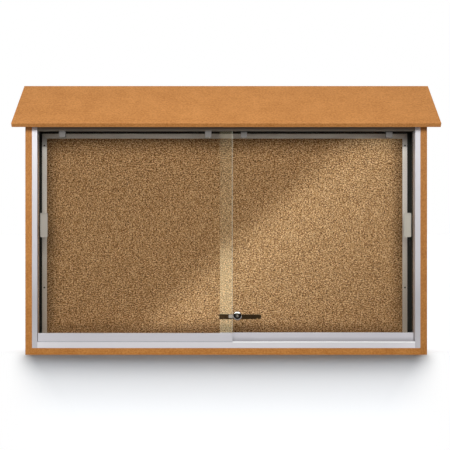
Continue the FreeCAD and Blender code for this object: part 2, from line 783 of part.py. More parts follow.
for door, sign, plane in (("front", -1, S.front_plane), ("rear", 1, S.rear_plane)):
    middle = sign * (opening - S.door_end_gap - half_door)
    y = front + plane

    glass = new_body(door + "_glass", middle, y)
    extrude(
        glass,
        "top",
        web_top + gasket,
        glass_top,
        [rectangle(-half_door, -half_glass, half_door, half_glass)],
    )
    soften(glass, along("z"), S.glass_bevel, flat=True)

    seal = new_body(door + "_glass_gasket", middle, y)
    extrude(
        seal,
        "side",
        -half_door,
        half_door,
        [[(-channel, web_top), (channel, web_top), (channel, gasket_top), (half_glass, gasket_top),
          (half_glass, web_top + gasket), (-half_glass, web_top + gasket),
          (-half_glass, gasket_top), (-channel, gasket_top)]],
    )

    shoe = new_body(door + "_door_shoe", middle, y)
    extrude(
        shoe,
        "side",
        -half_door,
        half_door,
        [[(-half_shoe, shoe_bottom), (-channel, shoe_bottom), (-channel, shoe_web),
          (channel, shoe_web), (channel, shoe_bottom), (half_shoe, shoe_bottom),
          (half_shoe, shoe_top), (channel, shoe_top), (channel, web_top),
          (-channel, web_top), (-channel, shoe_top), (-half_shoe, shoe_top)]],
    )
    edge_y = -half_shoe.number
    soften(shoe, along("x", lambda p: abs(p.y - edge_y) < 0.01), S.shoe_round)

    for side, way in sides:
        place = middle + way * (half_door - S.carrier_inset)
        carrier = new_body("%s_roller_carrier_%s" % (door, side), place, y)
        extrude(
            carrier,
            "top",
            carrier_bottom,
            shoe_web,
            [rectangle(-half_length, -half_carrier, half_length, half_carrier)],
        )
        extrude(
            carrier,
            "top",
            carrier_bottom,
            shoe_web,
            [rectangle(-slot_reach, -slot_half, slot_reach, slot_half)],
            cut=True,
        )
        end_x = half_length.number
        soften(carrier, along("z", lambda p: abs(p.x) > end_x - 0.01), S.carrier_corner)
        extrude(
            carrier,
            "front",
            -half_carrier,
            half_carrier,
            [Circle(0, axle_height, S.axle_radius + S.axle_fit)],
            cut=True,
        )

        axle = new_body("%s_wheel_axle_%s" % (door, side), place, y, axle_height)
        extrude(axle, "front", -half_carrier, half_carrier, [Circle(0, 0, S.axle_radius)])

        wheel = new_body("%s_wheel_%s" % (door, side), place, y, axle_height)
        bore = S.axle_radius + S.running_fit
        turn(
            wheel,
            "side",
            [[(-half_wheel, bore), (half_wheel, bore), (half_wheel, S.wheel_radius),
              (groove_mouth, S.wheel_radius), (half_groove, S.wheel_roll_radius),
              (-half_groove, S.wheel_roll_radius), (-groove_mouth, S.wheel_radius),
              (-half_wheel, S.wheel_radius)]],
        )

        place = middle + way * (half_door - S.guide_inset)
        guide = new_body("%s_top_guide_%s" % (door, side), place, y)
        half_guide = S.guide_width / 2
        grip = S.guide_thick / 2
        extrude(
            guide,
            "side",
            -half_guide,
            half_guide,
            [[(-grip, guide_bottom), (-half_glass, guide_bottom), (-half_glass, glass_top),
              (half_glass, glass_top), (half_glass, guide_bottom), (grip, guide_bottom),
              (grip, guide_top), (-grip, guide_top)]],
        )
        grip_y = grip.number
        soften(guide, along("z", lambda p: abs(p.y) > grip_y - 0.01), S.guide_round)

    pull = new_body(door + "_finger_pull", middle + sign * (half_door - S.pull_inset),
                    y - half_glass, S.pull_middle_z)
    half_pull_w = S.pull_width / 2
    half_pull_h = S.pull_height / 2
    plate = rectangle(-half_pull_w, -half_pull_h, half_pull_w, half_pull_h)
    extrude(pull, "front", -S.pull_thick, 0, [plate])
    soften(pull, along("y"), S.pull_corner)
    # the hollow takes the fingertip and leaves the grip on the side that faces the middle
    inner_edge = -sign * (half_pull_w - S.pull_grip)
    outer_edge = sign * (half_pull_w - S.pull_edge)
    hollow_half = half_pull_h - S.pull_rim
    extrude(
        pull,
        "front",
        -S.pull_thick,
        -S.pull_plate,
        [rectangle(outer_edge, -hollow_half, inner_edge, hollow_half)],
        cut=True,
    )
    corner_x = max(abs(inner_edge.number), abs(outer_edge.number)) + 0.01
    corner_z = hollow_half.number + 0.01
    hollow = along("y", lambda p: abs(p.x) < corner_x and abs(p.z) < corner_z)
    soften(pull, hollow, S.pull_hollow_corner)

# Ratchet bar, hooked on the left edge of the rear pane

rear_edge = opening - S.door_end_gap - door_width
bar_back = S.rear_plane - half_glass - S.pad_thick
bar_front = bar_back - S.bar_thick
hook_inside = -S.bar_play
hook_back = S.rear_plane + half_glass + S.bar_play
bar_half = S.bar_height / 2

lock_x = -rear_edge + S.lock_side_gap + S.lock_radius
pawl_start = lock_x - 1.5 * S.tooth_pitch

bar = new_body("ratchet_bar", rear_edge, front, S.bar_middle_z)
extrude(
    bar,
    "top",
    -bar_half,
    bar_half,
    [[(hook_inside - S.bar_thick, bar_front), (S.bar_reach, bar_front), (S.bar_reach, bar_back),
      (hook_inside, bar_back), (hook_inside, hook_back), (S.hook_length, hook_back),
      (S.hook_length, hook_back + S.bar_thick), (hook_inside - S.bar_thick, hook_back + S.bar_thick)]],
)
bend_x = (hook_inside - S.bar_thick).number
soften(bar, along("z", lambda p: abs(p.x - bend_x) < 0.01), S.bar_bend)
bar_end = S.bar_reach.number
soften(bar, along("y", lambda p: abs(p.x - bar_end) < 0.01), S.bar_end_round)
tooth_wall = pawl_start - rear_edge - S.tooth_pitch
tooth = extrude(
    bar,
    "front",
    bar_front,
    bar_back,
    [[(tooth_wall, bar_half + S.bar_play), (tooth_wall, bar_half - S.tooth_depth),
      (tooth_wall - S.tooth_run, bar_half), (tooth_wall - S.tooth_run, bar_half + S.bar_play)]],
    cut=True,
)
teeth = bar.newObject("PartDesign::LinearPattern", "ratchet_teeth")
teeth.Originals = [tooth]
teeth.Direction = (tooth.Profile[0], ["H_Axis"])
bind(teeth, "Length", S.tooth_pitch * (S.tooth_count - 1))
bind(teeth, "Occurrences", S.tooth_count)
bar.Tip = teeth
doc.recompute()
notch = Circle(S.bar_reach - S.bar_notch_place, -bar_half, S.bar_notch)
extrude(bar, "front", bar_front, bar_back, [notch], cut=True)
rivet_hole = Circle(S.rivet_place, 0, S.rivet_radius + S.rivet_play)
extrude(bar, "front", bar_front, bar_back, [rivet_hole], cut=True)

pad = new_body("bar_pad", rear_edge, front, S.bar_middle_z)
extrude(
    pad,
    "front",
    bar_back,
    bar_back + S.pad_thick,
    [rectangle(S.pad_start, -bar_half + S.pad_margin, S.pad_start + S.pad_length, bar_half - S.pad_margin)],
)
pad_edge = (bar_half - S.pad_margin).number
soften(pad, along("y", lambda p: abs(p.z) > pad_edge - 0.01), S.pad_corner)
rivet_end = bar_back + S.pad_thick / 3
extrude(pad, "front", bar_back, rivet_end + S.rivet_play, [rivet_hole], cut=True)

rivet = new_body("bar_rivet", rear_edge + S.rivet_place, front, S.bar_middle_z)
rivet_front = bar_front - S.rivet_tall
turn(
    rivet,
    "side",
    [[(rivet_front, 0), (rivet_front, S.rivet_flat), (bar_front, S.rivet_head), (bar_front, S.rivet_radius),
      (rivet_end, S.rivet_radius), (rivet_end, 0)]],
)

# Lock on the bar, in the plane of the front pane

lock_y0 = -S.lock_out
lock_back = S.rear_plane - half_glass - S.lock_side_gap
cover_front = lock_back - S.cover_thick
chamber_front = bar_front - S.bar_play - S.pawl_thick - S.pawl_room
bar_mid = S.bar_middle_z - S.lock_height
bar_top = bar_mid + bar_half
bar_low = bar_mid - bar_half
pin_side = S.crank_radius * size(0.5).root()
drop = 2 * pin_side
play = S.bar_play
pawl_half = 1.5 * S.tooth_pitch + S.pawl_margin
tooth_low = bar_top + S.pawl_lift
foot_low = tooth_low + S.tooth_depth - S.pawl_tooth_short
foot_high = foot_low + S.pawl_foot
chamber_low = bar_top - S.chamber_drop
bore = S.plug_radius + S.running_fit
mouth_radius = S.plug_radius + S.lock_mouth_gap
mouth_back = lock_y0 + S.lock_mouth_depth

housing = new_body("lock_housing", lock_x, front, S.lock_height)
turn(
    housing,
    "side",
    [[(mouth_back, bore), (mouth_back, mouth_radius), (lock_y0, mouth_radius), (lock_y0, S.lock_radius),
      (cover_front, S.lock_radius), (cover_front, 0), (chamber_front, 0), (chamber_front, bore)]],
)
face_y = lock_y0.number
rim = S.lock_radius.number


def front_rim(edge):
    """The outer front circle of the housing."""
    if edge.Curve.TypeId != "Part::GeomCircle":
        return False
    return abs(edge.Curve.Radius - rim) < 0.01 and abs(edge.Curve.Center.y - face_y) < 0.01


soften(housing, front_rim, S.lock_round)
nose_back = S.front_plane - half_glass - S.lock_side_gap
nose_end = -S.lock_radius - S.nose_reach
nose_root = -bore - S.nose_root
nose_low = -S.nose_drop - S.nose_height / 2
extrude(
    housing,
    "front",
    nose_back - S.nose_thick,
    nose_back,
    [rectangle(nose_end, nose_low, nose_root, nose_low + S.nose_height)],
)
nose_x = nose_end.number
soften(housing, along("y", lambda p: abs(p.x - nose_x) < 0.01), S.nose_corner)
extrude(
    housing,
    "side",
    -S.lock_radius - 1,
    S.lock_radius + 1,
    [rectangle(bar_front - play, bar_low - play, cover_front + 1, bar_top + play)],
    cut=True,
)
extrude(
    housing,
    "side",
    -pawl_half - play,
    pawl_half + play,
    [rectangle(chamber_front, chamber_low, cover_front + 1, foot_high + play)],
    cut=True,
)
cover_screw_out = S.lock_radius - S.cover_screw_inset
cover_side = cover_screw_out * size(0.5).root()
cover_spots = [(-cover_side, cover_side), (cover_side, cover_side)]
cover_screw_hole = S.cover_screw_shank + S.cover_screw_play
cover_holes = [Circle(u, v, cover_screw_hole) for u, v in cover_spots]
extrude(housing, "front", cover_front - S.cover_screw_length, cover_front, cover_holes, cut=True)

cover = new_body("lock_cover", lock_x, front, S.lock_height)
extrude(cover, "front", cover_front, lock_back, [Circle(0, 0, S.lock_radius - S.cover_inset)])
extrude(cover, "front", cover_front, lock_back, cover_holes, cut=True)
cover_seat = lock_back - S.cover_screw_head_tall
cover_sinks = [Circle(u, v, S.cover_screw_head + S.cover_screw_play) for u, v in cover_spots]
extrude(cover, "front", cover_seat, lock_back, cover_sinks, cut=True)
screw_set(
    "lock_cover_screws",
    [((lock_x + u, front + cover_seat, S.lock_height + v), "-y") for u, v in cover_spots],
    S.cover_screw_head,
    S.cover_screw_head_tall,
    S.cover_screw_shank,
    S.cover_screw_length,
)

plug = new_body("lock_plug", lock_x, front, S.lock_height)
plug_front = lock_y0 + S.plug_recess
plug_back = chamber_front - S.plug_end_gap
turn(
    plug,
    "side",
    [[(plug_front, 0), (plug_front, S.plug_radius - S.plug_bevel),
      (plug_front + S.plug_bevel, S.plug_radius), (plug_back, S.plug_radius), (plug_back, 0)]],
)
extrude(
    plug,
    "front",
    plug_back,
    chamber_front + S.pawl_thick,
    [Circle(pin_side, pin_side, S.pin_radius)],
)
key_w = S.keyway_width / 2
key_h = S.keyway_height / 2
keyway = [rectangle(-key_w, -key_h, key_w, key_h)]
extrude(plug, "front", plug_front, plug_front + S.keyway_depth, keyway, cut=True)

pawl = new_body("lock_pawl", lock_x, front, S.lock_height)
pawl_front = chamber_front + S.pawl_front_gap
pawl_back = pawl_front + S.pawl_thick
slot_low = pin_side - S.pin_radius - play
slot_high = pin_side + S.pin_radius + play
slot_right = S.crank_radius + S.pin_radius + play
extrude(
    pawl,
    "front",
    pawl_front,
    pawl_back,
    [rectangle(-pawl_half, slot_low - S.pawl_shank, pawl_half, foot_high)],
)
foot = [(-pawl_half, foot_high)]
for step in range(3):
    wall_x = (step - 1.5) * S.tooth_pitch + S.tooth_pitch - S.pawl_margin
    slope_x = wall_x - S.tooth_run + S.pawl_tooth_slim
    foot += [(slope_x, foot_low), (wall_x, tooth_low), (wall_x, foot_low)]
foot += [(pawl_half, foot_low), (pawl_half, foot_high)]
foot[0:1] = [(-pawl_half, foot_high), (-pawl_half, foot_low)]
extrude(pawl, "front", pawl_front, bar_back, [foot])
extrude(
    pawl,
    "front",
    pawl_front,
    pawl_back,
    [rectangle(slot_low, slot_low, slot_right, slot_high)],
    cut=True,
)

# Check and write every piece

doc.recompute()
bad = []
for thing in doc.Objects:
    if "Invalid" in thing.State or "Error" in thing.State:
        bad.append("%s %s" % (thing.Name, thing.State))
for body in BODIES:
    shape = body.Shape
    if shape.isNull() or not shape.isValid():
        bad.append(body.Label + " has no valid shape")
if bad:
    raise RuntimeError("; ".join(bad))
for body in BODIES:
    body.Shape.exportStep("parts/%s.step" % body.Label)
    box = body.Shape.BoundBox
    print("%-30s solids %2d  x %8.2f %8.2f  y %7.2f %7.2f  z %7.2f %7.2f" % (
        body.Label, len(body.Shape.Solids), box.XMin, box.XMax, box.YMin, box.YMax, box.ZMin, box.ZMax))
print("pieces", len(BODIES))
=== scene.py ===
import logging
from dataclasses import dataclass
from enum import Enum
from functools import lru_cache, reduce
from typing import Callable, Mapping, Sequence

import bmesh
import bpy
import numpy as np
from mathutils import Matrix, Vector


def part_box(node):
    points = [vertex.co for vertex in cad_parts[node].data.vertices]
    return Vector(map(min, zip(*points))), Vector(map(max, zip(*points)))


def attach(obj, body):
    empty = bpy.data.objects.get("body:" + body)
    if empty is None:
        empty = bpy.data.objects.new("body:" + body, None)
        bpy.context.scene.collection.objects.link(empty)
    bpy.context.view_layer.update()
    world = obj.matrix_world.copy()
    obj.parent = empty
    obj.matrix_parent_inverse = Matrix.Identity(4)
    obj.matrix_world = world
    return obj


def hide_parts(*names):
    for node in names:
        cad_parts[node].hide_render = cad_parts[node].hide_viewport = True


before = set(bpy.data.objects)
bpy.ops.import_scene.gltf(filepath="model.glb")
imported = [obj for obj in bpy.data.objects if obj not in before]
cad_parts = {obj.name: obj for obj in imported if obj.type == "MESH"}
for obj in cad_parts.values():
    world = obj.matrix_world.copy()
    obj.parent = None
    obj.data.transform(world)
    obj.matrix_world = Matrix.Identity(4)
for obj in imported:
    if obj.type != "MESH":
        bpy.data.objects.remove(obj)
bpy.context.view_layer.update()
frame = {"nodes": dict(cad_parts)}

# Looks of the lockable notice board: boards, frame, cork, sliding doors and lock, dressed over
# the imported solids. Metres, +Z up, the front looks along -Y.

log = logging.getLogger("notice_board")
MM = 0.001
CRISP_ANGLE = 32.0
Colour = tuple[float, float, float, float]
Triple = tuple[float, float, float]
Pair = tuple[float, float]
Thing = bpy.types.Object
WHITE: Colour = (1.0, 1.0, 1.0, 1.0)
BLACK: Colour = (0.0, 0.0, 0.0, 1.0)


def paint(red: float, green: float, blue: float) -> Colour:
    """Turns a paint-chart colour, 0 to 255, into the linear colour that a shader takes.

    Args:
        red, green, blue: the chart values.
    Returns:
        Linear red, green, blue and a full alpha.
    """
    chart = np.array([red, green, blue]) / 255.0
    linear = np.where(chart <= 0.04045, chart / 12.92, ((chart + 0.055) / 1.055) ** 2.4)
    return (float(linear[0]), float(linear[1]), float(linear[2]), 1.0)


class Grain(Enum):
    """The way the lines of a board or a drawn profile run."""

    SIDEWAYS = 0
    INWARD = 1
    UPWARD = 2


class Way(Enum):
    """The way the outer face of a turned piece looks, as its across, up and out axes."""

    LEFT = ((0, 1, 0), (0, 0, 1), (-1, 0, 0))
    RIGHT = ((0, 1, 0), (0, 0, 1), (1, 0, 0))
    FRONT = ((1, 0, 0), (0, 0, 1), (0, -1, 0))
    UP = ((1, 0, 0), (0, 1, 0), (0, 0, 1))
    DOWN = ((1, 0, 0), (0, 1, 0), (0, 0, -1))


Seat = tuple[Triple, Way]


# Finishes


def _math(operation: str, swapped: bool = False) -> Callable[["Wire", "Value"], "Wire"]:
    """Makes an operator between wires from one kind of Math node.

    Args:
        operation: the Math node's operation.
        swapped: whether the other value comes first, for an operator's reflected form.
    Returns:
        The operator.
    """

    def operator(wire: "Wire", other: "Value") -> "Wire":
        """Adds the Math node for these two values."""
        values = (other, wire) if swapped else (wire, other)
        return wire.sheet.node("ShaderNodeMath", dict(enumerate(values)), {"operation": operation})

    return operator


class Wire:
    """One value of a finish's sheet, with sums written as plain arithmetic."""

    def __init__(self, sheet: "Sheet", socket: bpy.types.NodeSocket) -> None:
        """Keeps the sheet and the value's socket."""
        self.sheet = sheet
        self.socket = socket

    __add__ = __radd__ = _math("ADD")
    __sub__ = _math("SUBTRACT")
    __rsub__ = _math("SUBTRACT", swapped=True)
    __mul__ = __rmul__ = _math("MULTIPLY")
    __truediv__ = _math("DIVIDE")
    __rtruediv__ = _math("DIVIDE", swapped=True)
    __pow__ = _math("POWER")
    larger = _math("MAXIMUM")

    def __abs__(self) -> "Wire":
        """This without its sign."""
        return self.sheet.node("ShaderNodeMath", {0: self}, {"operation": "ABSOLUTE"})

    def step(self, start: float, end: float) -> "Wire":
        """Runs smoothly from 0 to 1 as this goes from start to end, which may be the lower."""
        sockets = {0: self, 1: start, 2: end, 3: 0.0, 4: 1.0}
        return self.sheet.node("ShaderNodeMapRange", sockets, {"interpolation_type": "SMOOTHSTEP"})


Value = Wire | float | Sequence[float]


class Sheet:
    """The node sheet on which one finish is worked out."""

    def __init__(self, tree: bpy.types.NodeTree) -> None:
        """Takes a node tree and empties it."""
        self.tree = tree
        self.tree.nodes.clear()

    def node(
        self,
        kind: str,
        sockets: Mapping[int | str, Value] | None = None,
        settings: Mapping[str, object] | None = None,
        out: int | str = 0,
    ) -> Wire:
        """Adds a node, sets it and joins its sockets.

        Args:
            kind: the node's type.
            sockets: values or links of its input sockets, by name or number.
            settings: its settings, set first; "stops" holds a ramp's places and colours.
            out: the output that is wanted, by name or number.
        Returns:
            The output as a wire.
        """
        made = self.tree.nodes.new(kind)
        for key, value in (settings or {}).items():
            if key == "stops":
                ramp = made.color_ramp
                while len(ramp.elements) < len(value):
                    ramp.elements.new(1.0)
                for element, (place, colour) in zip(ramp.elements, value):
                    element.position, element.color = place, colour
            else:
                setattr(made, key, value)
        for key, value in (sockets or {}).items():
            if isinstance(value, Wire):
                self.tree.links.new(value.socket, made.inputs[key])
            else:
                made.inputs[key].default_value = value
        return Wire(self, made.outputs[out])

    def where(self, scale: Triple = (1.0, 1.0, 1.0)) -> Wire:
        """The place on the piece in metres, each axis counted this many times."""
        place = self.node("ShaderNodeTexCoord", out="Object")
        return self.node("ShaderNodeMapping", {"Vector": place, "Scale": scale})

    def axes(self, names: str, vector: Wire | None = None) -> list[Wire]:
        """The named axes, such as XZ, of a vector, or of the place on the piece."""
        whole = {"Vector": vector or self.where()}
        return [self.node("ShaderNodeSeparateXYZ", whole, out=name) for name in names]

    def away(self, axis: Pair) -> Wire:
        """The distance sqrt((x - axis x)^2 + (z - axis z)^2) from an axis along Y."""
        x, z = self.axes("XZ")
        return ((x - axis[0]) ** 2.0 + (z - axis[1]) ** 2.0) ** 0.5

    def along(self, grain: Grain, fine: float, coarse: float) -> Wire:
        """The place counted finely across the grain and coarsely along it, to the metre."""
        return self.where(tuple(coarse if way is grain else fine for way in Grain))

    def noise(self, at: Wire, scale: float = 1.0, detail: float = 2.0, rough: float = 0.5) -> Wire:
        """Cloudy noise from 0 to 1 about its middle, with this many clouds to the unit."""
        sockets = {"Vector": at, "Scale": scale, "Detail": detail, "Roughness": rough}
        return self.node("ShaderNodeTexNoise", sockets)

    def mix(self, share: Value, low: Value, high: Value) -> Wire:
        """Mixes two colours: the low one at share 0, the high one at share 1."""
        return self.node("ShaderNodeMix", {0: share, 6: low, 7: high}, {"data_type": "RGBA"}, 2)

    def bump(self, height: Value, strength: float, distance: float) -> Wire:
        """The surface's tilt from a height map of this depth in metres."""
        sockets = {"Height": height, "Strength": strength, "Distance": distance}
        return self.node("ShaderNodeBump", sockets)

    def skin(self, **sockets: Value) -> Wire:
        """The main surface shader, its sockets named with underscores for spaces."""
        named = {key.replace("_", " "): value for key, value in sockets.items()}
        return self.node("ShaderNodeBsdfPrincipled", named)

    def glow(self, colour: Value, strength: Value) -> Wire:
        """A shader that gives off light of this colour."""
        return self.node("ShaderNodeEmission", {"Color": colour, "Strength": strength})

    def clear(self, colour: Value) -> Wire:
        """A see-through shader that tints what is behind it."""
        return self.node("ShaderNodeBsdfTransparent", {"Color": colour})

    def blend(self, share: Value, low: Wire, high: Wire) -> Wire:
        """Mixes two shaders: the low one at share 0, the high one at share 1."""
        return self.node("ShaderNodeMixShader", {0: share, 1: low, 2: high})

    def ray(self, *kinds: str) -> Wire:
        """1 for rays of any of these kinds, 0 for the others."""
        found = [self.node("ShaderNodeLightPath", out="Is %s Ray" % kind) for kind in kinds]
        return reduce(Wire.larger, found)

    def surface(self, shader: Wire, output_kind: str = "ShaderNodeOutputMaterial") -> None:
        """Hands the shader to the output of the material, lamp or world."""
        output = self.tree.nodes.new(output_kind)
        self.tree.links.new(shader.socket, output.inputs["Surface"])


@dataclass(frozen=True)
class Finish:
    """A finish; each kind says how its sheet is worked out."""

    name: str

    def shader(self, sheet: Sheet) -> Wire:
        """The finish's shader, worked out on this sheet."""
        raise NotImplementedError


def blank_material(name: str) -> tuple[bpy.types.Material, Sheet]:
    """A new material of this name and its empty sheet."""
    material = bpy.data.materials.new(name)
    material.use_nodes = True
    return material, Sheet(material.node_tree)


@lru_cache(maxsize=None)
def material_of(finish: Finish) -> bpy.types.Material:
    """Makes a finish's material once, for all the pieces that share it.

    Args:
        finish: the finish.
    Returns:
        Its material.
    """
    material, sheet = blank_material(finish.name)
    sheet.surface(finish.shader(sheet))
    return material


@dataclass(frozen=True)
class Layer:
    """One noise of a finish, with its counts to the metre across and along the grain.

    Its distance from its middle pulls the tone and the roughness, and all of it the height.
    """

    across: float
    along: float
    tone: float = 0.0
    rough: float = 0.0
    height: float = 0.0
    detail: float = 2.0
    harsh: float = 0.5


@dataclass(frozen=True)
class Patch:
    """Wear, or painted light or shade, in one place: its colour, share and bounds, and its pulls
    on metal and roughness.

    The bounds are smooth steps along X, Y, Z, or R, the distance from the axis along Y at this x
    and z, all in metres. The patch is where every step is 1.
    """

    colour: Colour
    share: float
    bounds: tuple[tuple[str, float, float], ...]
    metal: float = 0.0
    rough: float = 0.0
    axis: Pair = (0.0, 0.0)

    def cover(self, sheet: Sheet) -> Wire:
        """The patch's share at a place of the piece: the product of the steps."""
        steps = [
            (sheet.away(self.axis) if way == "R" else sheet.axes(way)[0]).step(start, end)
            for way, start, end in self.bounds
        ]
        return reduce(Wire.__mul__, steps) * self.share


@dataclass(frozen=True)
class Rubbed(Patch):
    """Wear that comes and goes in clouds, this many to the metre."""

    clouds: float = 240.0

    def cover(self, sheet: Sheet) -> Wire:
        """The patch's share, between half and one and a half times of it."""
        return super().cover(sheet) * (0.5 + sheet.noise(sheet.where(), self.clouds, 3.0))


@dataclass(frozen=True)
class Layered(Finish):
    """A finish of a few layers of noise between two tones, with patches of wear or of painted
    light and shade.
    """

    low: Colour
    high: Colour
    rough: float
    grain: Grain = Grain.SIDEWAYS
    layers: tuple[Layer, ...] = ()
    patches: tuple[Patch, ...] = ()
    middle: float = 0.5
    metal: float = 0.0
    gloss: float = 0.5
    relief: Pair = (0.5, 0.0003)

    def shader(self, sheet: Sheet) -> Wire:
        """Adds up what the layers do to the tone, roughness and height, and lays the patches on.

        Args:
            sheet: the finish's sheet.
        Returns:
            The finish's shader.
        """
        share, rough, metal, height = self.middle, self.rough, self.metal, 0.0
        for layer in self.layers:
            where = sheet.along(self.grain, layer.across, layer.along)
            noise = sheet.noise(where, 1.0, layer.detail, layer.harsh)
            share = (noise - 0.5) * layer.tone + share if layer.tone else share
            rough = (noise - 0.5) * layer.rough + rough if layer.rough else rough
            height = noise * layer.height + height if layer.height else height
        tone = sheet.mix(share, self.low, self.high)
        for patch in self.patches:
            cover = patch.cover(sheet)
            tone = sheet.mix(cover, tone, patch.colour)
            metal = cover * patch.metal + metal if patch.metal else metal
            rough = cover * patch.rough + rough if patch.rough else rough
        return sheet.skin(
            Base_Color=tone,
            Metallic=metal,
            Roughness=rough,
            Specular_IOR_Level=self.gloss,
            Normal=sheet.bump(height, *self.relief),
        )


@dataclass(frozen=True)
class PlasticLumber(Layered):
    """Solid coloured plastic lumber, finely mottled, with a satin pebbled skin."""

    low: Colour = paint(164, 103, 42)
    high: Colour = paint(194, 132, 66)
    rough: float = 0.55
    layers: tuple[Layer, ...] = (
        Layer(260.0, 190.0, tone=2.4, height=0.7, harsh=0.6),
        Layer(300.0, 12.0, tone=0.3),
        Layer(17.0, 17.0, tone=0.95, detail=3.0, harsh=0.6),
        Layer(950.0, 950.0, tone=0.6, rough=0.25, height=0.5),
    )
    gloss: float = 0.22
    relief: Pair = (0.55, 0.0003)


@dataclass(frozen=True)
class DrawnAluminium(Layered):
    """Clear-anodised aluminium with the fine lines of its drawing."""

    low: Colour = paint(224, 221, 226)
    high: Colour = paint(190, 187, 192)
    rough: float = 0.4
    layers: tuple[Layer, ...] = (
        Layer(1500.0, 4.0, tone=0.35, rough=0.16, height=1.0),
        Layer(14.0, 14.0, tone=0.3, rough=0.08, detail=3.0),
    )
    middle: float = 0.325
    metal: float = 0.38
    relief: Pair = (0.25, 0.00008)


@dataclass(frozen=True)
class Moulded(Layered):
    """Moulded rubber or nylon with a fine pebbled skin."""

    layers: tuple[Layer, ...] = (
        Layer(1600.0, 1600.0, tone=0.6, rough=0.3, height=1.0),
        Layer(60.0, 60.0, tone=1.2, detail=3.0),
    )
    middle: float = 0.4
    relief: Pair = (0.4, 0.0001)


@dataclass(frozen=True)
class PlatedMetal(Layered):
    """Plated or bare metal of the small hardware, with upright polishing marks."""

    grain: Grain = Grain.UPWARD
    layers: tuple[Layer, ...] = (
        Layer(900.0, 225.0, tone=0.9, rough=0.12, height=1.0),
        Layer(120.0, 120.0, tone=1.1, rough=0.08, detail=3.0),
    )
    middle: float = 0.4
    metal: float = 1.0
    relief: Pair = (0.12, 0.00005)


def cork_shade_rim(x: Wire, z: Wire) -> Wire:
    """The cork's rim with painted shade, where the beam is also weaker: 1 on its side and lower
    edges, falling smoothly to 0 at 45 mm.
    """
    inwards = (x + 0.5305, 0.5222 - x, z - 0.0500)
    return reduce(Wire.larger, [1.0 - distance.step(0.0, 0.045) for distance in inwards])


@dataclass(frozen=True)
class NaturalCork(Finish):
    """Pressed cork: crumbs of mixed browns, dark bark specks, pale flecks and open pores."""

    shades: tuple[tuple[float, Colour], ...] = (
        (0.0, paint(80, 47, 19)),
        (0.34, paint(131, 89, 47)),
        (0.64, paint(165, 121, 76)),
        (1.0, paint(217, 173, 125)),
    )

    def crumbs(self, sheet: Sheet, where: Wire, count: float) -> Wire:
        """Packed crumbs, this many to the metre, each of one random value from 0 to 1."""
        sockets = {"Vector": where, "Scale": count, "Randomness": 1.0}
        cells = sheet.node("ShaderNodeTexVoronoi", sockets, out="Color")
        return sheet.node("ShaderNodeSeparateColor", {"Color": cells})

    def shader(self, sheet: Sheet) -> Wire:
        """Packs two sizes of crumb with bent outlines, then bark, pale flecks and pores, and
        paints shade on the rim.

        Args:
            sheet: the finish's sheet.
        Returns:
            The cork's shader.
        """
        place = sheet.where()
        noise = {"Vector": place, "Scale": 260.0, "Detail": 2.0}
        bend = sheet.node("ShaderNodeTexNoise", noise, out="Color")
        bent = sheet.node(
            "ShaderNodeVectorMath",
            {0: bend, 1: (0.004, 0.004, 0.004), 2: place},
            {"operation": "MULTIPLY_ADD"},
        )
        crumb, grit = (self.crumbs(sheet, bent, count) for count in (640.0, 1200.0))
        cloud = sheet.noise(place, 60.0, 3.0, 0.6)
        wisp = sheet.noise(sheet.where((240.0, 240.0, 340.0)), detail=0.0)
        share = crumb * 0.95 + grit * 0.25 + (wisp - 0.5) * 1.85 + (cloud - 0.5) * 0.3 - 0.12
        ramp = sheet.node("ShaderNodeValToRGB", {"Fac": share}, {"stops": self.shades})
        bark = sheet.noise(bent, 600.0, 1.0).step(0.60, 0.67)
        fleck = sheet.noise(place, 700.0, 1.0).step(0.60, 0.67)
        colour = sheet.mix(bark * 0.75, ramp, paint(62, 38, 18))
        colour = sheet.mix(fleck * 0.6, colour, paint(232, 195, 152))
        # Painted shade: the cork darkened towards its side and lower edges
        colour = sheet.mix(cork_shade_rim(*sheet.axes("XZ", place)) * 0.32, colour, BLACK)
        pores = sheet.noise(place, 900.0)
        return sheet.skin(
            Base_Color=colour,
            Roughness=0.88 + (pores - 0.5) * 0.15,
            Specular_IOR_Level=0.1,
            Normal=sheet.bump(crumb * 0.5 + pores * 0.6 - bark * 0.8, 0.6, 0.0006),
        )


@dataclass(frozen=True)
class FloatGlass(Finish):
    """Clear float glass; lamps and the light inside the case pass straight through it."""

    tint: Colour = (0.96, 0.975, 0.965, 1.0)

    def shader(self, sheet: Sheet) -> Wire:
        """Gives clear glass the faint waves of its rolling, plainly see-through for light.

        Args:
            sheet: the finish's sheet.
        Returns:
            The pane's shader.
        """
        wave = sheet.noise(sheet.where((3.0, 3.0, 9.0)))
        glass = sheet.skin(
            Base_Color=WHITE,
            Roughness=0.0,
            IOR=1.52,
            Transmission_Weight=1.0,
            Normal=sheet.bump(wave, 0.02, 0.0002),
        )
        return sheet.blend(sheet.ray("Shadow", "Diffuse"), glass, sheet.clear(self.tint))


# Bounds of painted shade: the trims' foot, the case inside behind the frame, the ring on the plug
SHADED_FOOT = ("Z", 0.5, 0.08)
SHADED_INSIDE = (("Y", -0.047, -0.046), ("X", -0.5532, -0.5528), ("X", 0.5532, 0.5528))
SHADED_PLUG_RING = (("R", 0.0022, 0.0036), ("R", 0.0066, 0.0058))

